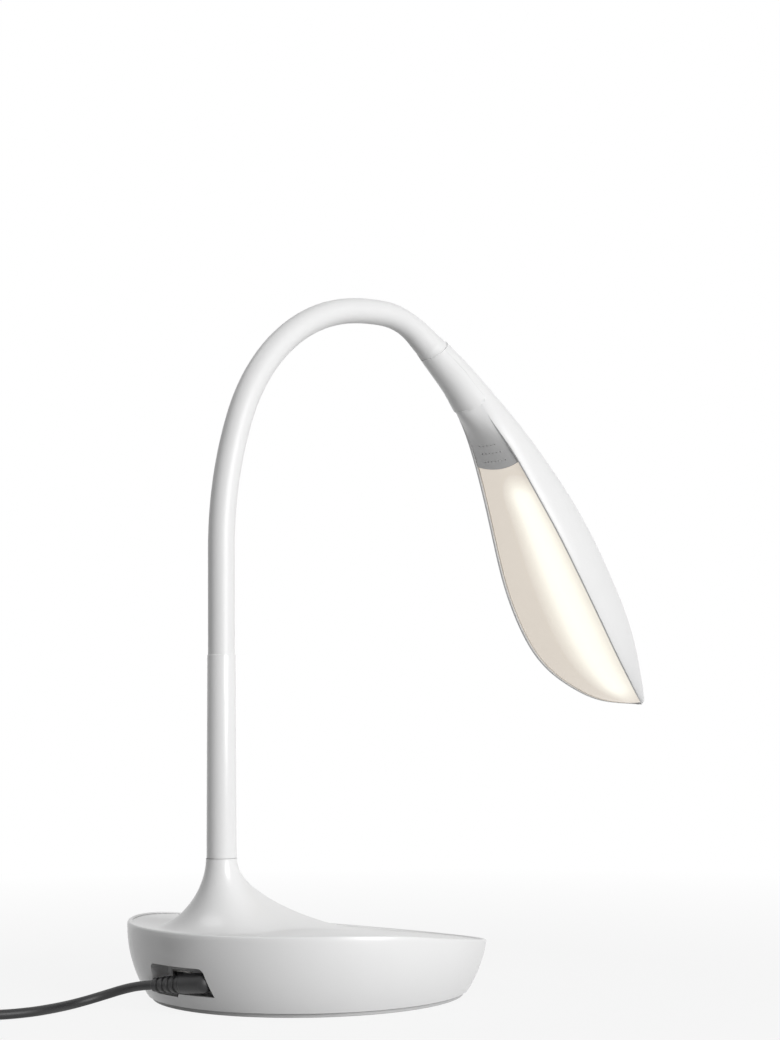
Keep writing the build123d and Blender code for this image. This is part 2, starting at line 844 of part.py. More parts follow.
def side_slab(points, half_width):
    """The space inside an outline in the head's side view."""
    with BuildPart() as slab:
        with BuildSketch(head_side):
            with BuildLine():
                Polyline(*points, close=True)
            make_face()
        extrude(amount=half_width, both=True)
    return slab.part


def rim_band(high, low):
    """The space between the rim line moved up by high and by low, in the head's side view."""
    line = [(s[0], s[1]) for s in stations if s[0] >= band_start]
    with BuildPart() as band:
        with BuildSketch(head_side):
            with BuildLine():
                upper = Spline(*[(u, v + high) for u, v in line])
                lower = Spline(*[(u, v + low) for u, v in line])
                Line(upper @ 0, lower @ 0)
                Line(upper @ 1, lower @ 1)
            make_face()
        extrude(amount=rim_radius, both=True)
    return band.part


def parting_space(gap):
    """The space below the head's parting line, lowered by gap."""
    line = [(u - gap, v - gap) for u, v in parting]
    return side_slab([*line, (line[-1][0], -reach), (line[0][0], -reach)], rim_radius)


def plan_space(grow, back):
    """The round-ended space of the underside cover in the head's plan, grown by grow, from a place on."""
    with BuildPart() as space:
        with BuildSketch(head_plan):
            with Locations((cover_round_place, 0)):
                Circle(cover_round + grow)
            with Locations((cover_round_place, 0)):
                Rectangle(cover_round_place - back, reach, align=(Align.MAX, Align.CENTER))
        extrude(amount=rim_radius, both=True)
    return space.part


open_stations = [s for s in stations if tube_sections[-1][0] <= s[0] <= cavity_end]
round_stations = [s for s in stations if s[0] <= tray_end[0] / 2]
head_outside = head_form(stations, 0, False)
head_round = head_form(round_stations, head_wall, False)
head_hollow = head_form(open_stations, head_wall, True)
head_fit = head_form(open_stations, head_wall + head_gap, True)


tray_rise = atan2(tray_end[1] - tray_start[1], tray_end[0] - tray_start[0])
tray_length = dist(tray_start, tray_end)
tray_chord = [cos(tray_rise) * c + sin(tray_rise) * n for c, n in zip(chord, across)]
tray_normal = [cos(tray_rise) * n - sin(tray_rise) * c for c, n in zip(chord, across)]
tray_origin = [
    h + tray_start[0] * c + tray_start[1] * n for h, c, n in zip((head_x, 0, head_z), chord, across)
]
tray_plane = Plane(origin=tray_origin, x_dir=tray_chord, z_dir=tray_normal)
tray_screw_spots = [(along, side * tray_screw_y) for along in tray_screw_places for side in (-1, 1)]

# ---------------------------------------------------------------- head_shell
with BuildPart() as bosses:
    with BuildSketch(tray_plane.offset(tray_thick)):
        with Locations(*tray_screw_spots):
            Circle(boss_radius)
    extrude(amount=rim_radius)
    add(head_outside, mode=Mode.INTERSECT)

with BuildPart() as head_shell:
    add(head_outside)
    add(head_hollow, mode=Mode.SUBTRACT)
    add(head_round, mode=Mode.SUBTRACT)
    add(parting_space(0), mode=Mode.SUBTRACT)
    add(bosses.part)
    with BuildSketch(tray_plane.offset(tray_thick)):
        with Locations(*tray_screw_spots):
            Circle(small_screw_radius + screw_gap)
    extrude(amount=screw_bite, mode=Mode.SUBTRACT)
write("head_shell", head_shell)

# ---------------------------------------------------------------- under_cover and diffuser
with BuildPart() as cover_lip:
    add(head_outside - head_round)
    add(parting_space(groove), mode=Mode.INTERSECT)

with BuildPart() as under_cover:
    add(head_outside & head_fit & plan_space(0, cover_back))
    add(rim_band(rim_height, 0), mode=Mode.SUBTRACT)
    add(head_round, mode=Mode.SUBTRACT)
    add(cover_lip.part)
    with BuildSketch(head_plan):
        for radius, count in vent_rows:
            with Locations((cover_round_place, 0)):
                with PolarLocations(radius, count, -vent_spread / 2, vent_spread):
                    Circle(vent_radius)
    extrude(amount=cavity_drop, both=True, mode=Mode.SUBTRACT)
write("under_cover", under_cover)

with BuildPart() as diffuser:
    add(head_fit)
    add(rim_band(diffuser_sink + diffuser_thick, diffuser_sink), mode=Mode.INTERSECT)
    add(plan_space(head_gap, 0), mode=Mode.SUBTRACT)
write("diffuser", diffuser)

# ---------------------------------------------------------------- light tray, board and lamps
with BuildPart() as light_tray:
    with BuildSketch(tray_plane):
        with Locations((tray_length / 2, 0)):
            Rectangle(tray_length, reach)
        with Locations(*tray_screw_spots):
            Circle(small_screw_radius + screw_gap, mode=Mode.SUBTRACT)
    extrude(amount=tray_thick)
    add(head_fit, mode=Mode.INTERSECT)
write("light_tray", light_tray)

led_board_length = tray_length - 2 * led_board_inset
with BuildPart() as led_board:
    with BuildSketch(tray_plane):
        with Locations((tray_length / 2, 0)):
            Rectangle(led_board_length, 2 * led_board_half)
    extrude(amount=-led_board_thick)
write("led_board", led_board)

with BuildPart() as leds:
    with BuildSketch(tray_plane.offset(-led_board_thick)):
        with Locations((tray_length / 2, 0)):
            with GridLocations(led_board_length / led_count, 1, led_count, 1):
                Rectangle(led_side, led_side)
    extrude(amount=-led_thick)
write("leds", leds)

with BuildPart() as tray_screws:
    with BuildSketch(tray_plane):
        with Locations(*tray_screw_spots):
            Circle(small_screw_head)
    extrude(amount=-screw_head_thick)
    with BuildSketch(tray_plane):
        with Locations(*tray_screw_spots):
            Circle(small_screw_radius)
    extrude(amount=tray_thick + screw_bite - screw_tip_gap)
write("tray_screws", tray_screws)

# ---------------------------------------------------------------- cuff, clamp and wire
cuff_reach = neck_length + cuff_end_radius
beyond_collar = side_slab(
    ((-head_gap / 2, -reach), (reach, -reach), (reach, reach), (-head_gap / 2, reach)),
    reach,
)
cuff_bore = neck_tube(cuff_start, cuff_reach, sleeve_bore, 0).part

with BuildPart() as neck_cuff:
    for along in (cuff_start, neck_length - cuff_length / 2, neck_length, cuff_reach):
        share = min(1.0, (along - cuff_start) / cuff_length)
        with BuildSketch(neck_plane(along)):
            Circle(cuff_start_radius + (cuff_end_radius - cuff_start_radius) * share)
    loft()
    add(cuff_bore, mode=Mode.SUBTRACT)
    add(beyond_collar, mode=Mode.SUBTRACT)
write("neck_cuff", neck_cuff)

clamp_start = neck_length + clamp_setback
clamp_plane = neck_plane(clamp_start)
grub_plane = Plane(
    origin=clamp_plane.from_local_coords((0, core_radius, clamp_length / 2)),
    z_dir=clamp_plane.y_dir,
)
with BuildPart() as head_clamp:
    with BuildSketch(clamp_plane):
        Circle(clamp_radius)
        Circle(core_radius + screw_gap, mode=Mode.SUBTRACT)
    extrude(amount=clamp_length)
    with BuildSketch(grub_plane):
        Circle(screw_hole)
    extrude(amount=clamp_radius, mode=Mode.SUBTRACT)
write("head_clamp", head_clamp)

with BuildPart() as clamp_screw:
    with BuildSketch(grub_plane.offset(screw_gap)):
        Circle(screw_radius)
    extrude(amount=clamp_radius - core_radius - screw_gap)
write("clamp_screw", clamp_screw)

wire_start = neck_length + core_reach
wire_from = Vector(*neck_place(wire_start))
wire_way = Vector(*neck_plane(wire_start).z_dir)
wire_to = tray_plane.from_local_coords((led_board_inset, 0, -wire_radius - screw_gap))
wire_in = Vector(*tray_chord)
wire_run = (wire_to - wire_from).length / 3
with BuildPart() as head_wire:
    with BuildLine() as wire_path:
        FilletPolyline(
            wire_from,
            wire_from + wire_way * wire_run,
            wire_to - wire_in * wire_run,
            wire_to,
            radius=wire_bend,
        )
    with BuildSketch(Plane(origin=wire_from, z_dir=wire_way)):
        Circle(wire_radius)
    sweep(path=wire_path.wire())
write("head_wire", head_wire)

# ---------------------------------------------------------------- plug
droop = radians(plug_droop)
swing = radians(plug_swing)
plug_way = Vector(-sin(swing) * cos(droop), cos(swing) * cos(droop), -sin(droop))
plug_out = Vector(cos(swing), sin(swing), 0)
plug_middle = Vector(plug_x, jack_y, jack_z)


def plug_plane(along):
    """Plane square to the plug's drooping body, at a distance from the jack's axis."""
    return Plane(origin=plug_middle + plug_way * along, x_dir=plug_out, z_dir=plug_way)


with BuildPart() as dc_plug:
    with BuildSketch(plug_plane(-plug_tail)):
        Circle(plug_radius)
    extrude(amount=plug_tail + plug_head)
    fillet(dc_plug.edges().group_by(Axis.Y)[0], plug_radius * plug_round)
    with BuildSketch(Plane.YZ.offset(plug_x)):
        with Locations((jack_y, jack_z)):
            Circle(plug_neck_radius)
    extrude(amount=recess_back_x - plug_x - plug_gap)
    with BuildSketch(Plane(origin=(plug_x, jack_y, jack_z), z_dir=(1, 0, 0))):
        Circle(barrel_radius)
    extrude(amount=recess_back_x - plug_x - plug_gap, mode=Mode.SUBTRACT)
    with BuildSketch(plug_plane(plug_head)):
        Circle(sleeve_start_radius)
    with BuildSketch(plug_plane(plug_head + sleeve_length)):
        Circle(sleeve_end_radius)
    loft()
    rib_pitch = sleeve_length / (sleeve_ribs + 1)
    for rib in range(1, sleeve_ribs + 1):
        with BuildSketch(plug_plane(plug_head + rib * rib_pitch - groove_width / 2)):
            Circle(plug_radius)
            Circle(sleeve_end_radius - groove, mode=Mode.SUBTRACT)
        extrude(amount=groove_width, mode=Mode.SUBTRACT)
write("dc_plug", dc_plug)

with BuildPart() as plug_barrel:
    with BuildSketch(Plane(origin=(plug_x, jack_y, jack_z), z_dir=(1, 0, 0))):
        Circle(barrel_radius)
        Circle(barrel_bore, mode=Mode.SUBTRACT)
    extrude(amount=recess_back_x - plug_x + barrel_length)
write("plug_barrel", plug_barrel)

# ---------------------------------------------------------------- coil
lead_radius = lead_diameter / 2
heading = radians(coil_heading)
coil_ahead = Vector(cos(heading), sin(heading), 0)
coil_side = Vector(sin(heading), -cos(heading), 0)
low_z = coil_lift + lead_radius
coil_outer = coil_inner + (coil_halves - 1) * coil_pitch / 2
spiral_out = [coil_inner + k * coil_pitch / 2 for k in range(coil_halves)]
half_turns = []
for layer in range(coil_layers):
    inward = layer % 2 == 0
    half_turns += [(radius, 0) for radius in (reversed(spiral_out) if inward else spiral_out)]
    if layer < coil_layers - 1:
        turn_radius = coil_inner - coil_pitch / 2 if inward else coil_outer + coil_pitch / 2
        half_turns.append((turn_radius, coil_layer))
half_turns.append((coil_outer + coil_pitch / 2, 0))

coil_start = Vector(*coil_centre, low_z) - coil_side * coil_outer
coil_entry = coil_start - coil_ahead * lead_diameter
place, side = coil_start, 1
arcs = []
for radius, climb in half_turns:
    chord_flat = 2 * radius if climb == 0 else (4 * radius**2 - climb**2) ** 0.5
    finish = place + coil_side * side * chord_flat + Vector(0, 0, climb)
    arcs.append((place, (place + finish) / 2 + coil_ahead * side * radius, finish))
    place, side = finish, -side
coil_end = place
coil_exit_way = coil_ahead * side
coil_tail_end = coil_end + coil_exit_way * coil_tail


def arc_points(first, top, last, step):
    """Points along a half turn, about a step apart."""
    middle = (first + last) / 2
    radius = (last - first).length / 2
    count = max(2, round(pi * radius / step))
    along = (first - middle) / radius
    out = (top - middle) / radius
    return [
        middle + along * radius * cos(pi * k / count) + out * radius * sin(pi * k / count)
        for k in range(count)
    ]


def least_gap(points, step, diameter):
    """Least distance between parts of a line that are well apart along it, less the diameter."""
    skip = round(3 * diameter / step)
    spots = [(p.X, p.Y, p.Z) for p in points]
    least = min(
        dist(spots[i], spots[j]) for i in range(len(spots)) for j in range(i + skip, len(spots))
    )
    return least - diameter


walk = [p for arc in arcs for p in arc_points(*arc, coil_step)]
coil_length = sum(pi * (last - first).length / 2 for first, top, last in arcs) + lead_diameter + coil_tail
coil_gap = least_gap(walk, coil_step, lead_diameter)
print(f"coil: {len(arcs)} half turns, {coil_length:.0f} mm, least gap {coil_gap:.2f} mm")

with BuildPart() as lead_coil:
    with BuildLine() as coil_path:
        Line(coil_entry, coil_start)
        for first, top, last in arcs:
            ThreePointArc(first, top, last)
        Line(coil_end, coil_tail_end)
    with BuildSketch(Plane(origin=coil_entry, z_dir=coil_ahead)):
        Circle(lead_radius)
    sweep(path=coil_path.wire())
write("lead_coil", lead_coil)

# ---------------------------------------------------------------- free lead
sleeve_tip = plug_middle + plug_way * (plug_head + sleeve_length)
lead_points = [
    sleeve_tip,
    sleeve_tip + plug_way * first_run,
    *[Vector(*point) for point in lead_middle],
    coil_entry - coil_ahead * last_run,
    coil_entry,
]
runs = [(b - a).length for a, b in zip(lead_points, lead_points[1:])]
turns = [
    (b - a).get_angle(c - b) for a, b, c in zip(lead_points, lead_points[1:], lead_points[2:])
]
bends = [
    run_share * min(before, after) / tan(radians(turn) / 2)
    for before, after, turn in zip(runs, runs[1:], turns)
]
print("lead runs:", [round(run, 1) for run in runs])
print("lead turns:", [round(turn, 1) for turn in turns])
print("lead radii:", [round(bend, 1) for bend in bends])

with BuildPart() as power_lead:
    with BuildLine() as lead_path:
        FilletPolyline(*lead_points, radius=bends)
    with BuildSketch(Plane(origin=lead_points[0], z_dir=plug_way)):
        Circle(lead_radius)
    sweep(path=lead_path.wire())
write("power_lead", power_lead)
lead_length = lead_path.wire().length
lead_share = power_lead.part.volume / (pi * lead_radius**2 * lead_length)
print(f"free lead {lead_length:.0f} mm, volume ratio {lead_share:.4f}")

# ---------------------------------------------------------------- tie and adapter
crossings = [(p - Vector(*coil_centre, 0)).dot(coil_side) for arc in arcs for p in (arc[0], arc[2])]
tie_top = coil_lift + lead_diameter + (coil_layers - 1) * coil_layer + tie_gap
with BuildPart() as lead_tie:
    for sign in (-1, 1):
        near = [abs(c) for c in crossings if c * sign > 0]
        low = min(near) - lead_radius - tie_gap
        high = max(near) + lead_radius + tie_gap
        centre = Vector(*coil_centre, 0) + coil_side * sign * (low + high) / 2
        with BuildSketch(Plane(origin=centre, x_dir=coil_side, z_dir=-coil_ahead)):
            with Locations((0, (tie_top + coil_lift) / 2)):
                Rectangle(high - low + 2 * tie_thick, tie_top + coil_lift)
            with Locations((0, (tie_top + tie_thick) / 2)):
                Rectangle(high - low, tie_top - tie_thick, mode=Mode.SUBTRACT)
        extrude(amount=tie_width / 2, both=True)
write("lead_tie", lead_tie)


def adapter_plane(along, height):
    """Plane square to the lead where it comes off the coil."""
    spot = coil_tail_end + coil_exit_way * along
    return Plane(origin=(spot.X, spot.Y, height), x_dir=(0, 0, 1), z_dir=coil_exit_way)


with BuildPart() as adapter_relief:
    with BuildSketch(adapter_plane(0, coil_tail_end.Z)):
        Circle(sleeve_end_radius)
    with BuildSketch(adapter_plane(adapter_relief_length, coil_tail_end.Z)):
        Circle(plug_radius)
    loft()
write("adapter_relief", adapter_relief)

with BuildPart() as adapter_body:
    with BuildSketch(adapter_plane(adapter_relief_length, adapter_height / 2)):
        Rectangle(adapter_height, adapter_width)
    extrude(amount=adapter_length)
    fillet(adapter_body.edges(), adapter_edge)
write("adapter_body", adapter_body)

blade_plane = Plane(
    origin=(
        coil_tail_end
        + coil_exit_way * (adapter_relief_length + adapter_length / 2)
        + Vector(0, 0, adapter_height - coil_tail_end.Z)
    ),
    x_dir=coil_exit_way,
    z_dir=(0, 0, 1),
)
with BuildPart() as adapter_pins:
    with BuildSketch(blade_plane):
        with Locations((-blade_spacing / 2, 0), (blade_spacing / 2, 0)):
            Rectangle(blade_thick, blade_width)
    extrude(amount=blade_length)
write("adapter_pins", adapter_pins)
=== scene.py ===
import json
from math import cos, pi, radians, sin, tan

import bmesh
import bpy
import numpy as np
from mathutils import Matrix, Vector


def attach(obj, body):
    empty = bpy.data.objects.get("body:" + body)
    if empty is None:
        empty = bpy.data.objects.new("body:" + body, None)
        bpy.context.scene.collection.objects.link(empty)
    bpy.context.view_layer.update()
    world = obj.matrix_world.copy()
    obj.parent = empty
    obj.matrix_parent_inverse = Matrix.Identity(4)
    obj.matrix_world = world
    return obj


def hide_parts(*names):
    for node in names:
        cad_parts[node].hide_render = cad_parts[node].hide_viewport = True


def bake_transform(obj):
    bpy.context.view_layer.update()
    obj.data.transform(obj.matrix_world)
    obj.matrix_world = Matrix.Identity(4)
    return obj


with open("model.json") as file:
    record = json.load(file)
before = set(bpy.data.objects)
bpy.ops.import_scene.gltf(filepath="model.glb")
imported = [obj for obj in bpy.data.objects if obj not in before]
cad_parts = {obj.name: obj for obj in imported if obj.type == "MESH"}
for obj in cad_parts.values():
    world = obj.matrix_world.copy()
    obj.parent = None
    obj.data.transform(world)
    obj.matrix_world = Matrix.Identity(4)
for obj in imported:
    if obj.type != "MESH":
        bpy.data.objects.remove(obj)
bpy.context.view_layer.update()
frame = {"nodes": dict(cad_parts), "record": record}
nodes = frame["nodes"]
mm = 0.001  # sizes below are in millimetres, and the scene is in metres
print("frame loaded:", len(nodes), "CAD nodes")


def addObject(name, data):
    made = bpy.data.objects.new(name, data)
    bpy.context.scene.collection.objects.link(made)
    return made



# the photograph's viewpoint, behind the lamp and to its left
view = {
    "distance": 900.0,  # from the lamp's centre line
    "around": 46.0,
    "height": 128.7, "yaw": -2.51, "pitch": 5.66, "roll": -0.55,
    "yaw": -2.51,
    "focalPixels": 1923.0, "photoWidth": 780.0, "sensor": 36.0,
    "photoWidth": 780.0,
}


def makeCamera():
    around, pitch, roll = (radians(view[angle]) for angle in ("around", "pitch", "roll"))
    heading = around + radians(view["yaw"])
    ahead = Vector((cos(heading) * cos(pitch), sin(heading) * cos(pitch), sin(pitch)))
    right = Vector((sin(heading), -cos(heading), 0.0))
    up = right.cross(ahead)
    rolledRight = cos(roll) * right + sin(roll) * up
    rolledUp = -sin(roll) * right + cos(roll) * up
    place = Matrix((rolledRight, rolledUp, -ahead)).transposed().to_4x4()
    back = view["distance"]
    place.translation = Vector((-back * cos(around), -back * sin(around), view["height"])) * mm
    camera = addObject("camera", bpy.data.cameras.new("camera"))
    camera.data.sensor_fit = "HORIZONTAL"
    camera.data.sensor_width = view["sensor"]
    camera.data.lens = view["focalPixels"] / view["photoWidth"] * view["sensor"]
    camera.matrix_world = place
    bpy.context.scene.camera = camera


makeCamera()

backdropRays = ("Camera", "Glossy", "Transmission")  # the rays that show the backdrop as it is
noiseMiddle = 0.5


class Wire:
    # A socket that can be added, multiplied and so on, each time with a Math node.
    def __init__(self, shader, socket):
        self.shader = shader
        self.socket = socket

    __add__ = __radd__ = lambda self, other: self.shader.maths("ADD", self, other)
    __mul__ = __rmul__ = lambda self, other: self.shader.maths("MULTIPLY", self, other)
    __sub__ = lambda self, other: self.shader.maths("SUBTRACT", self, other)
    __rsub__ = lambda self, other: self.shader.maths("SUBTRACT", other, self)
    __truediv__ = lambda self, other: self.shader.maths("DIVIDE", self, other)
    __pow__ = lambda self, other: self.shader.maths("POWER", self, other)


class Shader:
    # A material, and one method that adds any node to it.
    def __init__(self, name):
        self.material = bpy.data.materials.new(name)
        self.material.use_nodes = True
        self.tree = self.material.node_tree
        self.surface = self.tree.nodes["Principled BSDF"]

    def node(self, kind, settings=None, values=None, out=0):
        made = self.tree.nodes.new("ShaderNode" + kind)
        settings = dict(settings or {})
        stops = settings.pop("stops", None)
        for key, value in settings.items():
            setattr(made, key, value)
        if stops:
            ramp = made.color_ramp.elements
            while len(ramp) < len(stops):
                ramp.new(1.0)
            for element, (at, shade) in zip(ramp, stops):
                element.position = at
                element.color = (*shade, 1.0)
        for key, value in (values or {}).items():
            self.plug(made.inputs[key], value)
        return Wire(self, made.outputs[out])

    def plug(self, socket, value):
        if isinstance(value, Wire):
            self.tree.links.new(value.socket, socket)
        elif isinstance(value, tuple) and len(value) == 3 and socket.type == "RGBA":
            socket.default_value = (*value, 1.0)
        else:
            socket.default_value = value

    def finish(self, **values):
        for key, value in values.items():
            self.plug(self.surface.inputs[key.replace("_", " ")], value)
        return self.material

    def place(self):
        return self.node("TexCoord", out=3)

    def parts(self, vector):
        # The first two parts of a vector.
        return [self.node("SeparateXYZ", None, {0: vector}, k) for k in (0, 1)]

    def maths(self, operation, *values):
        return self.node("Math", {"operation": operation}, dict(enumerate(values)))

    def seen(self):
        # 1 for the rays that show the backdrop, and 0 for all others.
        camera, glossy, transmission = (self.node("LightPath", out=f"Is {kind} Ray") for kind in backdropRays)
        return self.maths("MINIMUM", camera + glossy + transmission, 1.0)

    def noise(self, scale, detail=2.0):
        return self.node("TexNoise", None, {"Vector": self.place(), "Scale": scale, "Detail": detail})

    def bump(self, height, strength, distance):
        return self.node("Bump", None, {"Height": height, "Strength": strength, "Distance": distance})

    def mix(self, share, first, second):
        # The colour sockets of a Mix node are its inputs 6 and 7, and its output 2.
        return self.node("Mix", {"data_type": "RGBA"}, {0: share, 6: first, 7: second}, 2)


# each look has the name of the slot that wears it
finishes = {  # colour, roughness, scale of the grain, its relief, and coat
    "white_plastic": ((0.80, 0.80, 0.80), 0.32, 1400.0, 0.00004, 0.15),
    "white_silicone": ((0.79, 0.79, 0.79), 0.42, 1900.0, 0.00002, 0.0),
    "white_paint": ((0.80, 0.80, 0.80), 0.30, 900.0, 0.00005, 0.2),
    "black_plastic": ((0.012, 0.012, 0.013), 0.42, 1500.0, 0.00008, 0.0),
    "black_rubber": ((0.014, 0.014, 0.015), 0.5, 2100.0, 0.0001, 0.0),
    "grey_plastic": ((0.5, 0.5, 0.5), 0.5, 1200.0, 0.00005, 0.0),
    "circuit": ((0.05, 0.22, 0.10), 0.4, 600.0, 0.00004, 0.2),
}
mouldedLook = {
    "clouds": 35.0,
    "cloudDetail": 3.0,
    "cloudShade": 0.965,  # the darker clouds' share of the colour
    "cloudRough": 0.08,
    "grainRough": 0.05,
    "bump": 0.35,
}
metals = {  # colour, roughness, scale of the grain
    "steel": ((0.55, 0.55, 0.56), 0.35, 300.0),
    "nickel": ((0.72, 0.71, 0.68), 0.2, 200.0),
    "iron": ((0.12, 0.12, 0.125), 0.65, 500.0),
}
metalLook = {"detail": 4.0, "shade": 0.9, "grainRough": 0.2, "bump": 0.2, "relief": 0.00005}


def mouldedFinish(name):
    # Moulded or painted surface: fine grain in the height, slow clouds in colour and gloss.
    colour, rough, scale, relief, coat = finishes[name]
    shader = Shader(name)
    clouds = shader.noise(mouldedLook["clouds"], mouldedLook["cloudDetail"])
    grain = shader.noise(scale)
    shade = tuple(c * mouldedLook["cloudShade"] for c in colour)
    rough = rough + (clouds - noiseMiddle) * mouldedLook["cloudRough"]
    return shader.finish(
        Base_Color=shader.mix(clouds, shade, colour),
        Roughness=rough + (grain - noiseMiddle) * mouldedLook["grainRough"],
        Normal=shader.bump(grain, mouldedLook["bump"], relief),
        Coat_Weight=coat,
    )


def metalFinish(name):
    colour, rough, scale = metals[name]
    shader = Shader(name)
    grain = shader.noise(scale, metalLook["detail"])
    return shader.finish(
        Base_Color=shader.mix(grain, tuple(c * metalLook["shade"] for c in colour), colour),
        Roughness=rough + (grain - noiseMiddle) * metalLook["grainRough"],
        Metallic=1.0,
        Normal=shader.bump(grain, metalLook["bump"], metalLook["relief"]),
    )


glow = {
    "edge": (0.60, 0.54, 0.47),  # light at the dim side, beige
    "core": (1.0, 0.97, 0.86),
    "strength": 0.82,
    "across": 0.3,  # the bright band's middle, and the widths over which it fades on either side
    "fadeDim": 0.36, "fadeNear": 0.5,
    "fadeNear": 0.5,
    "start": 0.11,  # where the fading towards the two ends begins, and over what length
    "fadeStart": 0.09,
    "end": 0.85,
    "fadeEnd": 0.13,
    "fall": ((0.0, 1.0), (0.3, 0.9), (0.62, 0.4), (1.0, 0.0)),  # distance from the band, brightness
    # the diffuser's body colour away from and along the bright band: painted shade and painted light, since
    # the opal itself is one colour
    "bodyDim": (0.62, 0.59, 0.54), "bodyLit": (0.8, 0.78, 0.72),
    "bodyLit": (0.8, 0.78, 0.72),
    "haze": 60.0, "hazeShade": 0.97,
    "hazeShade": 0.97,
    "rough": 0.45, "hazeRough": 0.06,
    "hazeRough": 0.06,
}


def opalFinish():
    # Lit diffuser: a bright band along the panel's own UV map, which fades to both sides and to the ends.
    shader = Shader("opalDiffuser")
    along, over = shader.parts(shader.node("TexCoord", out=2))
    away = over - glow["across"]
    dim = shader.maths("MAXIMUM", away, 0.0) / glow["fadeDim"]
    near = shader.maths("MAXIMUM", 0.0 - away, 0.0) / glow["fadeNear"]
    early = shader.maths("MAXIMUM", glow["start"] - along, 0.0) / glow["fadeStart"]
    late = shader.maths("MAXIMUM", along - glow["end"], 0.0) / glow["fadeEnd"]
    far = (dim * dim + near * near + early * early + late * late) ** 0.5
    stops = [(at, (bright, bright, bright)) for at, bright in glow["fall"]]
    ramp = shader.node("ValToRGB", {"stops": stops}, {0: far})
    level = shader.node("RGBToBW", None, {0: ramp})
    haze = shader.noise(glow["haze"])
    dark = shader.mix(haze, tuple(c * glow["hazeShade"] for c in glow["edge"]), glow["edge"])
    return shader.finish(
        # the body colour is painted lighter where the band glows: painted light on top of the real glow
        Base_Color=shader.mix(level, glow["bodyDim"], glow["bodyLit"]),
        Roughness=glow["rough"] + (haze - noiseMiddle) * glow["hazeRough"],
        Emission_Color=shader.mix(level, dark, glow["core"]),
        Emission_Strength=glow["strength"],
    )


materials = {name: mouldedFinish(name) for name in finishes}
materials |= {name: metalFinish(name) for name in metals}
materials["opal"] = opalFinish()
print("materials made:", len(materials))

surface = {
    "merge": 1e-7,  # points nearer than this become one, in metres
    "empty": 1e-8,
    "tiny": 1e-9,
    "crease": 35.0,  # edges sharper than this many degrees stay sharp
    "cutCrease": 28.0,
    "headCrease": 40.0,
    "cornerShare": 0.45,  # the most of a side that a rounded corner takes
    "cornerSteps": 4,
}


def turnSteps(count):
    return np.linspace(0, 2 * pi, count, endpoint=False)


def gridFaces(rows, columns, closedRows=False, closedColumns=False):
    # Quads between neighbours of a grid whose points are numbered row by row.
    r = np.arange(rows if closedRows else rows - 1)[:, None]
    c = np.arange(columns if closedColumns else columns - 1)[None, :]
    a, b = r * columns + c, r * columns + (c + 1) % columns
    d, e = (r + 1) % rows * columns + c, (r + 1) % rows * columns + (c + 1) % columns
    return np.stack([a, b, e, d], -1).reshape(-1, 4)


def makeMesh(name, points, faces, uv=None, sharp=surface["crease"]):
    mesh = bpy.data.meshes.new(name)
    mesh.from_pydata((np.asarray(points).reshape(-1, 3) * mm).tolist(), [], [list(f) for f in faces])
    mesh.update()
    if uv is not None:
        layer = mesh.uv_layers.new(name="UVMap")
        corners = np.empty(len(mesh.loops), int)
        mesh.loops.foreach_get("vertex_index", corners)
        layer.data.foreach_set("uv", np.asarray(uv).reshape(-1, 2)[corners].astype(np.float32).ravel())
    tidyMesh(mesh, sharp)
    return addObject(name, mesh)


def tidyMesh(mesh, sharp):
    # Doubles merged and faces turned outwards.
    work = bmesh.new()
    work.from_mesh(mesh)
    bmesh.ops.remove_doubles(work, verts=work.verts, dist=surface["merge"])
    bmesh.ops.dissolve_degenerate(work, edges=work.edges, dist=surface["empty"])
    bmesh.ops.recalc_face_normals(work, faces=work.faces)
    work.to_mesh(mesh)
    work.free()
    smoothMesh(mesh, sharp)


def smoothMesh(mesh, sharp):
    mesh.polygons.foreach_set("use_smooth", np.ones(len(mesh.polygons), bool))
    mesh.set_sharp_from_angle(angle=radians(sharp))
    mesh.update()


def finishPiece(piece, body, slot, *replaced):
    piece.data.materials.clear()
    piece.data.materials.append(materials[slot])
    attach(piece, body)
    if replaced:
        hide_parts(*replaced)
    return piece


def roundProfile(corners, reach):
    # An open outline whose inner corners are rounded: each corner becomes a quadratic curve
    # that starts and ends reach away from it, or less on a short side.
    corners = np.asarray(corners, float)
    done = [corners[0]]
    for before, corner, after in zip(corners, corners[1:], corners[2:]):
        to, on = before - corner, after - corner
        most = surface["cornerShare"]
        cut = min(reach, most * np.linalg.norm(to), most * np.linalg.norm(on))
        a, b = corner + to / np.linalg.norm(to) * cut, corner + on / np.linalg.norm(on) * cut
        t = np.linspace(0, 1, surface["cornerSteps"] + 1)[:, None]
        done.extend((1 - t) ** 2 * a + 2 * t * (1 - t) * corner + t**2 * b)
    done.append(corners[-1])
    return np.array(done)


def makeTurned(name, profile, count, origin=(0, 0, 0), axis=(0, 0, 1), start=(1, 0, 0)):
    # A profile of radius and height, turned about an axis through the origin.
    axis, start = np.asarray(axis, float), np.asarray(start, float)
    turn = turnSteps(count)
    ring = np.cos(turn)[:, None] * start + np.sin(turn)[:, None] * np.cross(axis, start)
    profile = np.asarray(profile, float)
    grid = np.asarray(origin) + profile[:, :1, None] * ring[None] + profile[:, 1:, None] * axis
    return makeMesh(name, grid, gridFaces(len(profile), count, False, True))


def makePin(name, radius, half, count, *place):
    # A plain cylinder to cut with, half its length to either side.
    profile = [(0, -half), (radius, -half), (radius, half), (0, half)]
    return makeTurned(name, profile, count, *place)


def prismMesh(name, outline, axis, low, high):
    # A closed outline, carried along one axis from low to high.
    outline = np.asarray(outline, float)
    count = len(outline)
    rest = [k for k in range(3) if k != axis]
    points = np.empty((2, count, 3))
    points[..., rest] = outline
    points[0, :, axis], points[1, :, axis] = low, high
    faces = gridFaces(2, count, closedColumns=True).tolist()
    faces += [list(range(count)), list(range(2 * count - 1, count - 1, -1))]
    return makeMesh(name, points, faces)


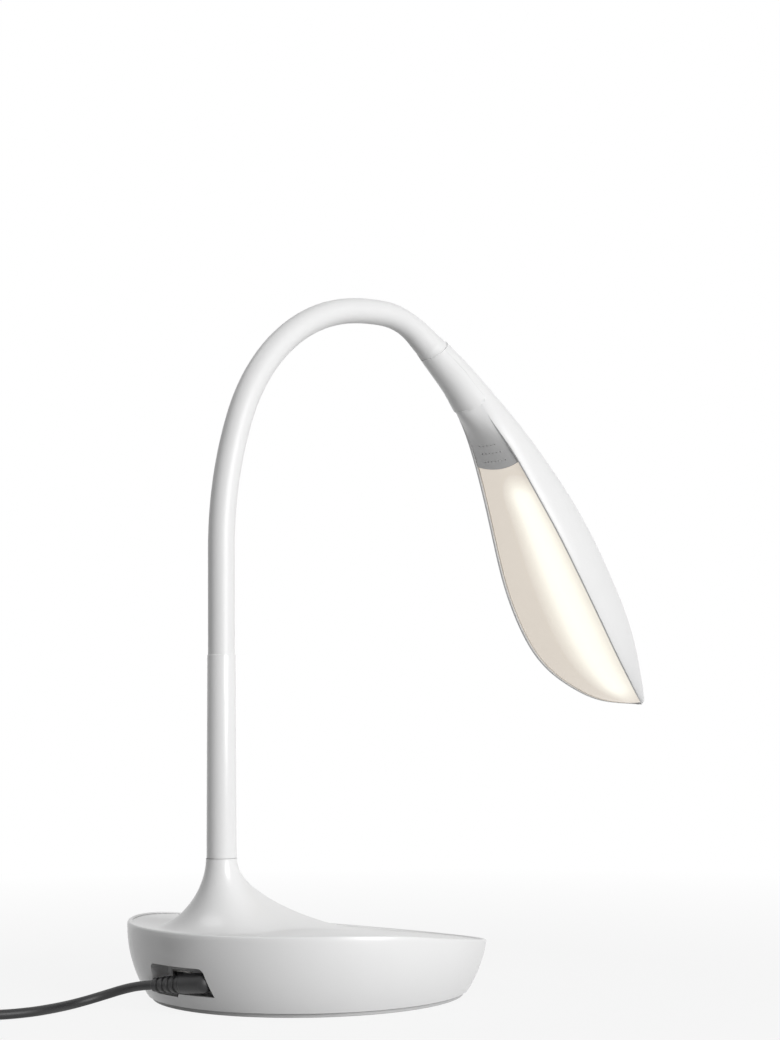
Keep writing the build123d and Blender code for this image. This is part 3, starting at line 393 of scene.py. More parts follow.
def combine(piece, tool, operation):
    # Boolean of two closed meshes. The tool is used up.
    modifier = piece.modifiers.new("combine", "BOOLEAN")
    modifier.operation = operation
    modifier.solver = "EXACT"
    modifier.object = tool
    bpy.context.view_layer.update()
    result = bpy.data.meshes.new_from_object(piece.evaluated_get(bpy.context.evaluated_depsgraph_get()))
    piece.modifiers.clear()
    piece.data = result
    bpy.data.objects.remove(tool)
    return piece


def joinMeshes(piece, others):
    # The others' meshes are added to the piece's own. The others are used up.
    work = bmesh.new()
    for source in (piece, *others):
        work.from_mesh(source.data)
    work.to_mesh(piece.data)
    work.free()
    for other in others:
        bpy.data.objects.remove(other)
    return piece


def splineThrough(at, xs, ys):
    # Natural cubic curve through the points (xs, ys): second derivatives from one linear system.
    xs, ys = np.asarray(xs, float), np.asarray(ys, float)
    gap = np.diff(xs)
    size = len(xs)
    system, right = np.eye(size), np.zeros(size)
    for k in range(1, size - 1):
        system[k, k - 1], system[k, k], system[k, k + 1] = gap[k - 1], 2 * (gap[k - 1] + gap[k]), gap[k]
        right[k] = 6 * ((ys[k + 1] - ys[k]) / gap[k] - (ys[k] - ys[k - 1]) / gap[k - 1])
    bend = np.linalg.solve(system, right)
    k = np.clip(np.searchsorted(xs, at) - 1, 0, size - 2)
    a, b = (xs[k + 1] - at) / gap[k], (at - xs[k]) / gap[k]
    curve = (a**3 - a) * bend[k] + (b**3 - b) * bend[k + 1]
    return a * ys[k] + b * ys[k + 1] + curve * gap[k] ** 2 / 6


def smoothStep(t):
    return t * t * (3 - 2 * t)


base = {
    "rimRadius": 82.5, "rimHeight": 35.0,
    "rimHeight": 35.0,
    "bellyRadius": 78.9, "bellyHeight": 13.0,
    "bellyHeight": 13.0,
    "footRadius": 73.2, "footThick": 2.0,
    "footThick": 2.0,
    "wall": 2.2,
    "lip": 1.3,
    "lipSwell": 0.9,  # height of the rounded lip, as a share of half the wall
    "lipSteps": 9,
    "bendX": -52.0,  # where the rim begins to fall towards the front
    "bendRadius": 320.0,
    "fall": 7.1,
    "groove": 0.45,
    "sink": 0.7,  # of the cover below the rim
    "coverThick": 2.2,
    "ledge": 1.0,  # from the cover's underside down to where the wall is thicker
    "wallRows": 18, "stepsRound": 240, "rimPasses": 6,
    "stepsRound": 240,
}
fallAngle = radians(base["fall"])


def rimLine(x, drop=0.0):
    # Level at the back, then an arc, then a straight slope down to the front.
    bentX = base["bendX"] + base["bendRadius"] * sin(fallAngle)
    inArc = np.clip(x - base["bendX"], 0, bentX - base["bendX"])
    arc = base["bendRadius"] - np.sqrt(base["bendRadius"] ** 2 - inArc**2)
    slope = np.clip(x - bentX, 0, None) * tan(fallAngle)
    return base["rimHeight"] - drop - arc - slope


def wallRadius(z):
    # Circle through the foot, the belly and the rim of the wall's section.
    places = ("footRadius", "footThick"), ("bellyRadius", "bellyHeight"), ("rimRadius", "rimHeight")
    low, mid, top = (np.array((base[radius], base[height])) for radius, height in places)
    system = 2 * np.array((mid - low, top - low))
    centre = np.linalg.solve(system, (mid @ mid - low @ low, top @ top - low @ low))
    radius = np.linalg.norm(low - centre)
    return centre[0] + np.sqrt(np.clip(radius**2 - (z - centre[1]) ** 2, 0, None))


def wallShell():
    # The wall as a closed ring: outside from the foot to the rim, a rounded lip, and inside again.
    turn = turnSteps(base["stepsRound"])
    foot, wall = base["footThick"], base["wall"]
    top = np.full(base["stepsRound"], base["rimHeight"])
    for step in range(base["rimPasses"]):  # the rim's radius and height depend on each other
        top = rimLine(wallRadius(top) * np.cos(turn))
    swell = wall / 2 * base["lipSwell"]
    levels = [foot + (top - swell - foot) * t for t in np.linspace(0, 1, base["wallRows"])]
    points = [(wallRadius(z), z) for z in levels]
    for angle in np.linspace(0, pi, base["lipSteps"])[1:-1]:
        points.append((wallRadius(top) - wall / 2 * (1 - np.cos(angle)), top - swell + swell * np.sin(angle)))
    points += [(wallRadius(z) - wall, z) for z in levels[::-1]]
    grid = np.array([[r * np.cos(turn), r * np.sin(turn), z] for r, z in points])
    return np.moveaxis(grid, 1, 2)


def makeBaseShell():
    shell = wallShell()
    rows = len(shell)
    # Near the rim the wall is only as thick as the lip, down to the ledge that carries the cover.
    below = rimLine(shell[..., 0]) - shell[..., 2]
    radius = np.hypot(shell[..., 0], shell[..., 1])
    isInside = np.arange(rows)[:, None] >= rows - base["wallRows"]
    thin = isInside & (below < base["sink"] + base["coverThick"] + base["ledge"])
    shell[..., :2] *= (1 + np.where(thin, (base["wall"] - base["lip"]) / radius, 0.0))[..., None]
    piece = makeMesh("baseShell", shell, gridFaces(rows, shell.shape[1], True, True))
    cutRecess(piece)
    tidyMesh(piece.data, surface["cutCrease"])
    return finishPiece(piece, "base", "white_plastic", "base_shell")


recess = {
    "backX": -68.5,
    "top": 20.3, "floor": 8.1, "halfTop": 17.6, "halfFloor": 19.5,
    "floor": 8.1,
    "corner": 3.0, "cornerSteps": 9, "wall": 2.0,
    "cornerSteps": 9,
    "notch": 1.5,  # the floor is this much lower to the right of notchY
    "notchY": 1.0,
    "formInset": 1.0,  # the recess's own walls end this far inside the base's skin
    "formTop": 4.0, "formRings": 24, "beyond": 10.0, "overcut": 1.0,
    "formRings": 24,
    "jackY": -10.5, "jackZ": 13.6, "jackHole": 4.05, "jackSteps": 48,
    "jackZ": 13.6,
    "usbY": 8.35, "usbZ": 13.65, "usbWidth": 13.4, "usbHeight": 6.0,
    "usbZ": 13.65,
}


def cutRecess(piece):
    # A block behind the skin, then the cavity in it, and the openings for the two sockets.
    backX, wall, top, corner = (recess[size] for size in ("backX", "wall", "top", "corner"))
    floor, lower = recess["floor"], recess["floor"] - recess["notch"]
    wide, half = recess["halfFloor"], recess["halfTop"]
    around = [(-wide - wall, lower - wall), (wide + wall, lower - wall), (wide + wall, top + wall)]
    around.append((-wide - wall, top + wall))
    block = prismMesh("block", around, 0, -base["rimRadius"], backX + wall)
    rings = np.linspace(base["footThick"], base["rimHeight"] - recess["formTop"], recess["formRings"])
    form = [(wallRadius(z) - recess["formInset"], z) for z in rings]
    form = [(0.0, rings[0]), *form, (0.0, rings[-1])]
    combine(block, makeTurned("form", form, base["stepsRound"]), "INTERSECT")
    combine(piece, block, "UNION")
    arc = np.linspace(0, pi / 2, recess["cornerSteps"])
    notch = recess["notchY"]
    hole = [(-wide, floor), (notch, floor), (notch + recess["notch"], lower), (wide, lower)]
    hole += [(half - corner + corner * cos(a), top - corner + corner * sin(a)) for a in arc]
    hole += [(-half + corner - corner * sin(a), top - corner + corner * cos(a)) for a in arc]
    combine(piece, prismMesh("cavity", hole, 0, -base["rimRadius"] - recess["beyond"], backX), "DIFFERENCE")
    jackY, jackZ, r = recess["jackY"], recess["jackZ"], recess["jackHole"]
    jack = [(jackY + r * cos(a), jackZ + r * sin(a)) for a in turnSteps(recess["jackSteps"])]
    w, h = recess["usbWidth"] / 2, recess["usbHeight"] / 2
    usb = [(recess["usbY"] + a * w, recess["usbZ"] + b * h) for a, b in ((-1, -1), (1, -1), (1, 1), (-1, 1))]
    for name, outline in (("jackHole", jack), ("usbHole", usb)):
        opening = prismMesh(name, outline, 0, backX - recess["overcut"], backX + 2 * wall)
        combine(piece, opening, "DIFFERENCE")


flare = {
    "neckX": -53.0, "top": 64.5, "topRadius": 6.85, "root": 33.4,
    "top": 64.5,
    "tilt": 5.0, "leanStart": 10.0, "power": 1.8, "blend": 0.5,
    "leanStart": 10.0,
    "front": 95.0, "side": 38.5, "back": 29.5,
    "side": 38.5,
    "under": 5.0,  # beyond its reach the flare counts as this far below the deck
}


def coverHeight(x, y):
    # Height of the cover: the higher of the deck, which follows the rim line, and the flare, which is
    # a hollow superellipse about the stem whose reach depends on the direction. A soft maximum joins them.
    deck = rimLine(x, base["sink"])
    dx, dy = x - flare["neckX"], y
    far = np.hypot(dx, dy)
    c, s = dx / np.maximum(far, surface["tiny"]), dy / np.maximum(far, surface["tiny"])
    lengthways = np.where(c > 0, flare["front"], flare["back"])
    full = 1 / np.sqrt((c / lengthways) ** 2 + (s / flare["side"]) ** 2)
    share = np.clip((full - far) / (full - flare["topRadius"]), 0, 1)
    depth = (1 - share ** flare["power"]) ** (1 / flare["power"])
    lean = (dx + np.sqrt(dx**2 + flare["leanStart"] ** 2)) / 2  # the flare leans only towards the front
    height = flare["top"] - (flare["top"] - flare["root"]) * depth
    height = height - lean * depth * tan(radians(flare["tilt"]))
    height = np.where(share > 0, height, deck - flare["under"])
    k = flare["blend"]
    return np.maximum(deck, height) + k * np.exp(-np.abs(deck - height) / k) / 2


key = {
    "x": 51.0,
    "radius": 13.5, "dish": 1.2, "rim": 1.2, "thick": 2.2,
    "dish": 1.2,
    "flange": 1.8, "flangeThick": 1.0, "soften": 0.35,
    "flangeThick": 1.0,
    "dishSteps": 14, "stepsRound": 128,
    "stepsRound": 128,
    "hole": 13.85, "holeHalf": 6.0,
    "holeHalf": 6.0,
}
keyUp = np.array((sin(fallAngle), 0, cos(fallAngle)))
keyAlong = np.array((cos(fallAngle), 0, -sin(fallAngle)))
keyCentre = np.array((key["x"], 0, float(rimLine(np.array(key["x"]), base["sink"]))))
keyPlace = (keyCentre, keyUp, keyAlong)


def makeKey():
    # A disc with a spherical hollow, turned about the deck's normal.
    radius, thick = key["radius"], key["thick"]
    inner = radius - key["rim"]
    ball = (inner**2 + key["dish"] ** 2) / (2 * key["dish"])
    radii = np.linspace(0, inner, key["dishSteps"])
    hollow = [(r, ball - key["dish"] - np.sqrt(ball**2 - r**2)) for r in radii]
    wide, low = radius + key["flange"], -thick - key["flangeThick"]
    corners = [hollow[-1], (radius, 0.0), (radius, -thick), (wide, -thick), (wide, low), (0, low)]
    profile = [*hollow[:-1], *roundProfile(corners, key["soften"])]
    piece = makeTurned("touchKey", profile, key["stepsRound"], *keyPlace)
    return finishPiece(piece, "base", "white_plastic", "touch_key")


cover = {
    "soften": 0.35, "softenSteps": 5,
    "softenSteps": 5,
    "edgePasses": 12, "edgeGain": 0.9, "leastReach": 10.0,
    "edgeGain": 0.9,
    "rows": 90,
    "bunch": 1.7,  # brings the rows closer together near the stem
    "skirt": 0.5,  # the underside comes down to the ledge this near the edge, in thicknesses
}


def makeTopCover():
    count, soften, drop = base["stepsRound"], cover["soften"], base["coverThick"]
    turn = turnSteps(count)
    inset = base["lip"] + base["groove"] + soften
    # distance from the stem to the cover's edge in each direction, found step by step
    far = np.full(count, base["rimRadius"] - inset)
    for step in range(cover["edgePasses"]):
        x = flare["neckX"] + far * np.cos(turn)
        y = far * np.sin(turn)
        limit = wallRadius(rimLine(x, base["sink"])) - inset
        far *= 1 + cover["edgeGain"] * (limit - np.hypot(x, y)) / np.maximum(far, cover["leastReach"])
    share = np.linspace(0, 1, cover["rows"]) ** cover["bunch"]
    radii = flare["topRadius"] + (far[None] - flare["topRadius"]) * share[:, None]
    x = flare["neckX"] + radii * np.cos(turn)
    y = radii * np.sin(turn)
    outer = np.stack([x, y, coverHeight(x, y)], -1)
    rim = outer[-1]
    outward = rim[:, :2] / np.linalg.norm(rim[:, :2], axis=1)[:, None]
    border = []
    for a in np.linspace(0, pi / 2, cover["softenSteps"])[1:]:
        ring = rim.copy()
        ring[:, :2] += outward * soften * sin(a)
        ring[:, 2] -= soften * (1 - cos(a))
        border.append(ring)
    low = border[-1].copy()
    low[:, 2] = rimLine(low[:, 0], base["sink"] + drop)
    under = outer[::-1].copy()
    under[..., 2] -= drop
    inSkirt = np.linalg.norm(under[..., :2] - rim[:, :2], axis=-1) < cover["skirt"] * drop
    under[..., 2] = np.where(inSkirt, np.minimum(under[..., 2], low[:, 2]), under[..., 2])
    grid = np.concatenate([outer, border, low[None], under])
    piece = makeMesh("topCover", grid, gridFaces(len(grid), count, True, True))
    pin = makePin("keyHole", key["hole"], key["holeHalf"], key["stepsRound"], *keyPlace)
    combine(piece, pin, "DIFFERENCE")
    tidyMesh(piece.data, surface["cutCrease"])
    return finishPiece(piece, "base", "white_plastic", "top_cover")


foot = {"radius": 71.2, "soften": 0.5, "stepsRound": 160}


def makeFoot():
    radius, thick = foot["radius"], base["footThick"]
    profile = roundProfile([(0, 0), (radius, 0), (radius, thick), (0, thick)], foot["soften"])
    piece = makeTurned("footPad", profile, foot["stepsRound"])
    return finishPiece(piece, "base", "grey_plastic", "foot_pad")


stem = {
    "high": 154.2,
    "section": (  # radius and height: up to the neck, down the cone, and the hidden lower end in the flare
        (4.15, 154.2), (6.3, 154.2), (6.65, 64.5), (5.5, 64.5), (5.5, 24.8),
        (5.2, 24.8), (5.2, 17.05), (4.15, 17.05), (4.15, 154.2),
    ),
    "soften": 0.35,
    "stepsRound": 96,
}


def makeStem():
    profile = roundProfile(stem["section"], stem["soften"])
    piece = makeTurned("stemTube", profile, stem["stepsRound"], (flare["neckX"], 0, 0))
    return finishPiece(piece, "base", "white_paint", "stem_tube")


makeBaseShell()
makeTopCover()
makeKey()
makeFoot()
makeStem()
print("base made")

neck = {
    # length and turn of each stretch, and start and end of each soft one
    "pieces": ((47.3, 0.0), (63.4, 21.0), (96.8, 59.0), (24.4, 10.0), (26.8, 32.0), (12.9, 0.0)),
    "flex": ((6.0, 46.0), (60.0, 98.0), (116.0, 160.0), (186.0, 226.0)),
    "flexRows": 33, "spacing": 2.0, "leastRows": 4, "stepsRound": 48,
    "radius": 5.97, "topRadius": 6.15, "bore": 4.2,
    "topRadius": 6.15,
    "coreRadius": 4.0, "coreBore": 2.0,
    "coreBore": 2.0,
    "bodies": ("base", "neck_1", "neck_2", "neck_3", "head"),
}
neckLength = sum(length for length, turn in neck["pieces"])


def neckAt(along):
    # Place and heading on a line of straight stretches and arcs, for an array of distances.
    along = np.atleast_1d(np.asarray(along, float))
    x, z = np.full(along.shape, flare["neckX"]), np.full(along.shape, stem["high"])
    z += np.minimum(along, 0)
    heading, start = np.zeros(along.shape), 0.0
    for length, turn in neck["pieces"]:
        step = np.clip(along - start, 0, length)
        if turn:
            radius = length / radians(turn)
            ahead = heading + step / radius
            x += radius * (np.cos(heading) - np.cos(ahead))
            z += radius * (np.sin(ahead) - np.sin(heading))
            heading = ahead
        else:
            x += step * np.sin(heading)
            z += step * np.cos(heading)
        start += length
    beyond = np.maximum(along - neckLength, 0)
    return x + beyond * np.sin(heading), z + beyond * np.cos(heading), heading


def neckTube(name, along, outer, bore, lean=0.0, count=neck["stepsRound"]):
    # A ring of points round the neck's line at each distance, outside and then back inside.
    x, z, heading = neckAt(along)
    heading = heading + lean
    turn = turnSteps(count)
    centre = np.stack([x, 0 * x, z], -1)[:, None]
    upper = np.stack([np.cos(heading), 0 * x, -np.sin(heading)], -1)[:, None]
    side = np.array((0.0, 1.0, 0.0))
    ring = np.cos(turn)[None, :, None] * upper + np.sin(turn)[None, :, None] * side
    grid = np.concatenate([centre + ring * outer[:, None, None], (centre + ring * bore)[::-1]])
    return makeMesh(name, grid, gridFaces(len(grid), count, True, True))


def sleeveRadius(along):
    # The sleeve grows slightly towards the head.
    return neck["radius"] + (neck["topRadius"] - neck["radius"]) * np.clip(along / neckLength, 0, 1)


def coreRadius(along):
    return np.full(along.shape, neck["coreRadius"])


def makeSleeves():
    starts = [0.0] + [end for start, end in neck["flex"]]
    ends = [start for start, end in neck["flex"]]
    for k, (low, high) in enumerate(zip(starts, ends)):
        along = np.linspace(low, high, max(neck["leastRows"], int((high - low) / neck["spacing"]) + 1))
        tube = neckTube(f"neckSleeve{k}", along, sleeveRadius(along), neck["bore"])
        finishPiece(tube, neck["bodies"][k], "white_silicone", f"neck_sleeve_{k}")
    for k, (low, high) in enumerate(neck["flex"], 1):
        for kind, outer, bore, slot in (
            ("sleeve", sleeveRadius, neck["bore"], "white_silicone"),
            ("core", coreRadius, neck["coreBore"], "steel"),
        ):
            along = np.linspace(low, high, neck["flexRows"])
            tube = neckTube(f"flex{kind.title()}{k}", along, outer(along), bore)
            tube.data.materials.append(materials[slot])
            xs, zs, headings = neckAt([low, high])
            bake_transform(tube)
            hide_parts(f"flex_{kind}_{k}")


# the head's own directions: along the hood, and across it, away from the light's side
chordTilt = radians(43.5)
chord = np.array((sin(chordTilt), 0, -cos(chordTilt)))
across = np.array((cos(chordTilt), 0, sin(chordTilt)))
headX, headZ, headHeading = (float(v[0]) for v in neckAt(neckLength))
headOrigin = np.array((headX, 0, headZ))

cuff = {
    "coarse": 24.0,  # rows are coarse up to here and fine from there on, from the neck's end
    "coarseRows": 18, "fine": 23.0, "fineRows": 40,
    "fine": 23.0,
    "swell": 26.0, "radius": 7.25,
    "radius": 7.25,
    "collar": 4.5, "collarRadius": 7.8, "collarPower": 0.5,
    "collarRadius": 7.8,
    "soften": 0.35, "softenShare": 0.8,
    "softenShare": 0.8,
    "lean": 10.0, "bore": 4.4, "stepsRound": 64,
    "bore": 4.4,
}


def makeCuff():
    # The last sleeve swells into a cuff, and its end leans over to meet the head's own plane.
    start = neck["flex"][-1][1]
    coarse = np.linspace(start, neckLength - cuff["coarse"], cuff["coarseRows"])
    fine = np.linspace(neckLength - cuff["fine"], neckLength, cuff["fineRows"])
    along = np.concatenate([coarse, fine])
    left = neckLength - along
    swell = smoothStep(np.clip(1 - left / cuff["swell"], 0, 1))
    collar = np.clip(1 - left / cuff["collar"], 0, 1) ** cuff["collarPower"]
    outer = sleeveRadius(along) + (cuff["radius"] - neck["topRadius"]) * swell
    outer += (cuff["collarRadius"] - cuff["radius"]) * collar
    outer -= np.where(left < cuff["soften"], cuff["soften"] - left, 0) * cuff["softenShare"]
    lean = (pi - chordTilt - headHeading) * np.clip(1 - left / cuff["lean"], 0, 1)
    tube = neckTube("neckCuff", along, outer, cuff["bore"], lean, cuff["stepsRound"])
    finishPiece(tube, "head", "white_silicone", "neck_sleeve_4", "neck_cuff")


makeSleeves()
makeCuff()
print("neck made")

head = {
    "flank": 0.53,
    "tube": ((0.0, 0.2, 8.1), (13.5, 3.0, 9.1), (25.0, 5.0, 9.9)),  # place, height and radius
    # place, rim height and half width, belly height and half width, crown height, and the cover's bulge
    "hood": (
        (37.0, 1.0, 9.6, 6.2, 11.4, 17.0, 5.6),
        (50.0, 0.9, 11.2, 6.8, 13.0, 19.4, 3.2),
        (63.0, 0.0, 13.7, 6.6, 15.4, 21.0, 1.4),
        (87.0, -4.3, 18.0, 2.8, 19.5, 23.4, 0.6),
        (112.5, -10.1, 22.8, -3.1, 24.3, 24.0, 0.6),
        (140.0, -17.0, 27.1, -10.2, 28.5, 21.6, 0.6),
        (168.0, -22.0, 29.0, -15.6, 30.1, 16.8, 0.6),
        (185.0, -23.4, 28.5, -17.6, 29.5, 13.4, 0.6),
        (201.0, -22.3, 26.1, -17.3, 26.9, 8.2, 0.6),
        (219.0, -17.8, 20.6, -14.1, 21.2, 1.0, 0.5),
        (235.5, -9.9, 12.3, -8.4, 12.6, -2.6, 0.4),
        (242.0, -4.6, 6.8, -4.0, 6.9, -1.7, 0.3),
        (246.4, -0.9, 1.8, -0.75, 1.85, 0.1, 0.1),
    ),
    "wall": 1.6, "gap": 0.4, "end": 246.4,
    "gap": 0.4,
    "seam": 75.2,  # between the underside's cover and the diffuser
    "seamRadius": 60.0,
    "partingAt": (0.0, 1.4, 16.5, 34.3, 36.0),
    "parting": (-0.4, -0.1, 3.4, 4.8, 3.2),
    "notch": 35.4, "notchLength": 1.6,
    "notchLength": 1.6,
    "stepsAcross": 41,
}
stations = [
    (u, c - head["flank"] * r, r * np.sqrt(1 - head["flank"] ** 2), c, r, c + r, r * (1 - head["flank"]))
    for u, c, r in head["tube"]
] + list(head["hood"])
sizeNames = ("place", "rim", "rimWide", "belly", "bellyWide", "crown", "bulge")
columns = dict(zip(sizeNames, np.array(stations).T))
overHead = np.linspace(-1, 1, head["stepsAcross"])  # from rim to rim


def headSizes(u, *names):
    return [splineThrough(u, columns["place"], columns[name]) for name in names]


def toHead(u, y, v):
    # From the head's own directions to the lamp's.
    u, y, v = np.broadcast_arrays(u, y, v)
    return headOrigin + u[..., None] * chord + v[..., None] * across + y[..., None] * np.array((0, 1.0, 0))


def partingHeight(u, rim):
    # The shell's lower edge: along the tube's flank, then down a notch to the rim.
    drop = smoothStep(np.clip((u - head["notch"]) / head["notchLength"], 0, 1))
    return np.interp(u, head["partingAt"], head["parting"]) * (1 - drop) + rim * drop


shell = {
    "rows": ((0.0, 34.0, 26), (34.6, 38.2, 13), (39.5, 225.0, 120)),  # start, end, count
    "tipRows": 28, "tipStart": 0.05, "tipRound": 0.6, "tipLeast": 0.02,
    "tipStart": 0.05,
    "edgeGap": 0.02,
    "thickShare": 0.42,  # the wall is never more than these shares of the height and the half width
    "thickShareWide": 0.6,
    "flankRows": 9, "crownRows": 57,
    "crownRows": 57,
    "lipWide": 0.6, "lipDip": 0.22,
    "lipDip": 0.22,
}


def makeHeadShell():
    end, tip, last = head["end"], shell["tipRound"], shell["rows"][-1][1]
    tipShare = np.sin(np.linspace(shell["tipStart"], pi / 2, shell["tipRows"]))
    u = [np.linspace(*rows) for rows in shell["rows"]]
    u = np.concatenate([*u, last + (end + tip - last) * tipShare])
    sizes = headSizes(np.minimum(u, end), "rim", "rimWide", "belly", "bellyWide", "crown")
    rim, rimWide, belly, bellyWide, crown = sizes
    low = np.minimum(partingHeight(u, rim), belly - shell["edgeGap"])
    thick = np.minimum(head["wall"], shell["thickShare"] * (crown - rim))
    thick = np.minimum(thick, shell["thickShareWide"] * rimWide)
    levels = [low + (belly - low) * share for share in np.linspace(0, 1, shell["flankRows"])]
    # below the belly the flank draws in as a square of the distance down to the rim
    flank = [bellyWide - (bellyWide - rimWide) * ((belly - v) / (belly - rim)) ** 2 for v in levels]
    angles = np.linspace(0, pi, shell["crownRows"])[1:-1]
    skins = []
    for t in (0 * thick, thick):
        half = [(w - t, v) for w, v in zip(flank, levels)]
        arch = [((bellyWide - t) * cos(a), belly + (crown - t - belly) * sin(a)) for a in angles]
        skins.append(half + arch + [(-w, v) for w, v in reversed(half)])
    outer, inner = skins
    # a rounded lip between the outside and the inside
    middle = (outer[0][0] + inner[0][0]) / 2
    spread = (outer[0][0] - middle) * shell["lipWide"]
    dip = low - thick * shell["lipDip"]
    leftLip = [(-middle - spread, dip), (-middle + spread, dip)]
    rightLip = [(middle - spread, dip), (middle + spread, dip)]
    loop = outer + leftLip + inner[::-1] + rightLip
    y, v = (np.stack(values, -1) for values in zip(*loop))
    level = ((rim + crown) / 2)[:, None]
    close = np.clip((u - end) / tip, 0, 1)  # the very tip rounds off
    shrink = np.sqrt(np.clip(1 - close**2, 0, 1))[:, None] * (1 - shell["tipLeast"]) + shell["tipLeast"]
    y, v = y * shrink, level + (v - level) * shrink
    count, n = len(loop), len(outer)
    faces = gridFaces(len(u), count, False, True).tolist()
    for row in (0, len(u) - 1):  # both ends are closed between the skins
        ring = list(range(row * count, (row + 1) * count))
        outside, inside = ring[:n], ring[2 * n + 1 : n + 1 : -1]
        faces += [[outside[k], outside[k + 1], inside[k + 1], inside[k]] for k in range(n - 1)]
        faces.append([outside[-1], ring[n], ring[n + 1], inside[-1]])
        faces.append([inside[0], ring[-2], ring[-1], outside[0]])
    piece = makeMesh("headShell", toHead(u[:, None], y, v), faces, sharp=surface["headCrease"])
    return finishPiece(piece, "head", "white_plastic", "head_shell")


def stripMesh(name, u, y, v, uv=None, sharp=surface["headCrease"]):
    # A strip with a lower and an upper face, closed at both ends.
    count = y.shape[1]
    faces = gridFaces(len(u), count, False, True).tolist()
    for row in (0, len(u) - 1):
        ring = list(range(row * count, (row + 1) * count))
        faces += [[ring[k], ring[k + 1], ring[-2 - k], ring[-1 - k]] for k in range(count // 2 - 1)]
    return makeMesh(name, toHead(u, y, v), faces, uv, sharp)


def thereAndBack(lower, upper=None):
    # Rows of points for a strip's lower face and back for its upper one.
    return np.concatenate([lower, (lower if upper is None else upper)[:, ::-1]], 1)


def seamCurve(u):
    # How far the seam between cover and diffuser lies back from its middle.
    wide = headSizes(u, "rimWide")[0] * overHead
    return wide**2 / (2 * head["seamRadius"])


under = {
    "lipEnd": 36.2, "lipRows": 44, "lipGap": 0.35,
    "lipRows": 44,
    "lipBelow": 0.3,  # of the belly, at least
    "lipFlat": 35.0,  # from here on the lip's edge stays under lipFlatTop
    "lipFlatTop": 2.6,
    "start": 35.2, "rows": 60,
    "rows": 60,
    "seamStart": 50.0, "seamLength": 20.0,
    "seamLength": 20.0,
    "rimStart": 42.0,  # over the rims before this, and between them further on
    "rimLength": 24.0,
    "rimInset": 0.3, "rimDrop": 0.35, "bulgeLength": 25.0, "thick": 1.6,
    "rimDrop": 0.35,
    "vents": ((60.4, 5, 2.5), (65.3, 6, 2.4), (70.3, 7, 2.3)),  # place along the head, holes, distance
    "ventRadius": 0.42, "ventLevel": -3.0, "ventHalf": 6.0, "ventSteps": 12,
    "ventLevel": -3.0,
}


def makeLip():
    # The tube's lower half, whose section runs from flank to flank under the tube.
    u = np.linspace(0.0, under["lipEnd"], under["lipRows"])[:, None]
    rim, belly, wide, bulge = headSizes(u, "rim", "belly", "bellyWide", "bulge")
    top = np.minimum(partingHeight(u, rim) - under["lipGap"], belly - under["lipBelow"])
    top = np.where(u > under["lipFlat"], np.minimum(top, under["lipFlatTop"]), top)
    reach = belly - (rim - bulge)
    angle = np.arccos(np.clip((belly - top) / reach, -1, 1)) * overHead
    y = thereAndBack(wide * np.sin(angle), (wide - head["wall"]) * np.sin(angle))
    v = thereAndBack(belly - reach * np.cos(angle), belly - (reach - head["wall"]) * np.cos(angle))
    return stripMesh("lip", u, y, v)


def makePanel():
    # Between the rims, up to a shallow curve where the diffuser begins.
    rows = np.linspace(under["start"], head["seam"], under["rows"])[:, None]
    u = rows - seamCurve(rows) * np.clip((rows - under["seamStart"]) / under["seamLength"], 0, 1)
    rim, rimWide, bulge = headSizes(u, "rim", "rimWide", "bulge")
    between = np.clip((u - under["rimStart"]) / under["rimLength"], 0, 1)
    inset = under["rimInset"]
    y = (rimWide - inset - (head["wall"] + head["gap"] - inset) * between) * overHead
    bulge = bulge * (1 - overHead**2)
    bulge = bulge * np.clip((head["seam"] + under["bulgeLength"] - u) / under["bulgeLength"], 0, 1)
    v = rim - under["rimDrop"] * (1 - between) - bulge
    return stripMesh("underCover", thereAndBack(u), thereAndBack(y), thereAndBack(v, v + under["thick"]))


def makeUnderCover():
    lip = makeLip()
    panel = makePanel()
    drills = []
    for along, count, pitch in under["vents"]:
        for k in range(count):
            spot = toHead(np.array(along), (k - (count - 1) / 2) * pitch, under["ventLevel"])
            pin = (under["ventRadius"], under["ventHalf"], under["ventSteps"], spot, across, chord)
            drills.append(makePin("drill", *pin))
    combine(panel, joinMeshes(drills[0], drills[1:]), "DIFFERENCE")
    joinMeshes(panel, [lip])
    smoothMesh(panel.data, surface["headCrease"])
    return finishPiece(panel, "head", "white_plastic", "under_cover")


diffuser = {
    "end": 241.0, "rows": 110,
    "rows": 110,
    "seamLength": 40.0,  # over this the rows become straight
    "leastWide": 0.15, "lift": 0.4, "bow": 0.6,
    "lift": 0.4,
    "edge": 0.95, "edgeWide": 0.05, "edgeLift": 0.3,
    "edgeWide": 0.05,
    "thick": 2.3, "crease": 50.0,
    "crease": 50.0,
}


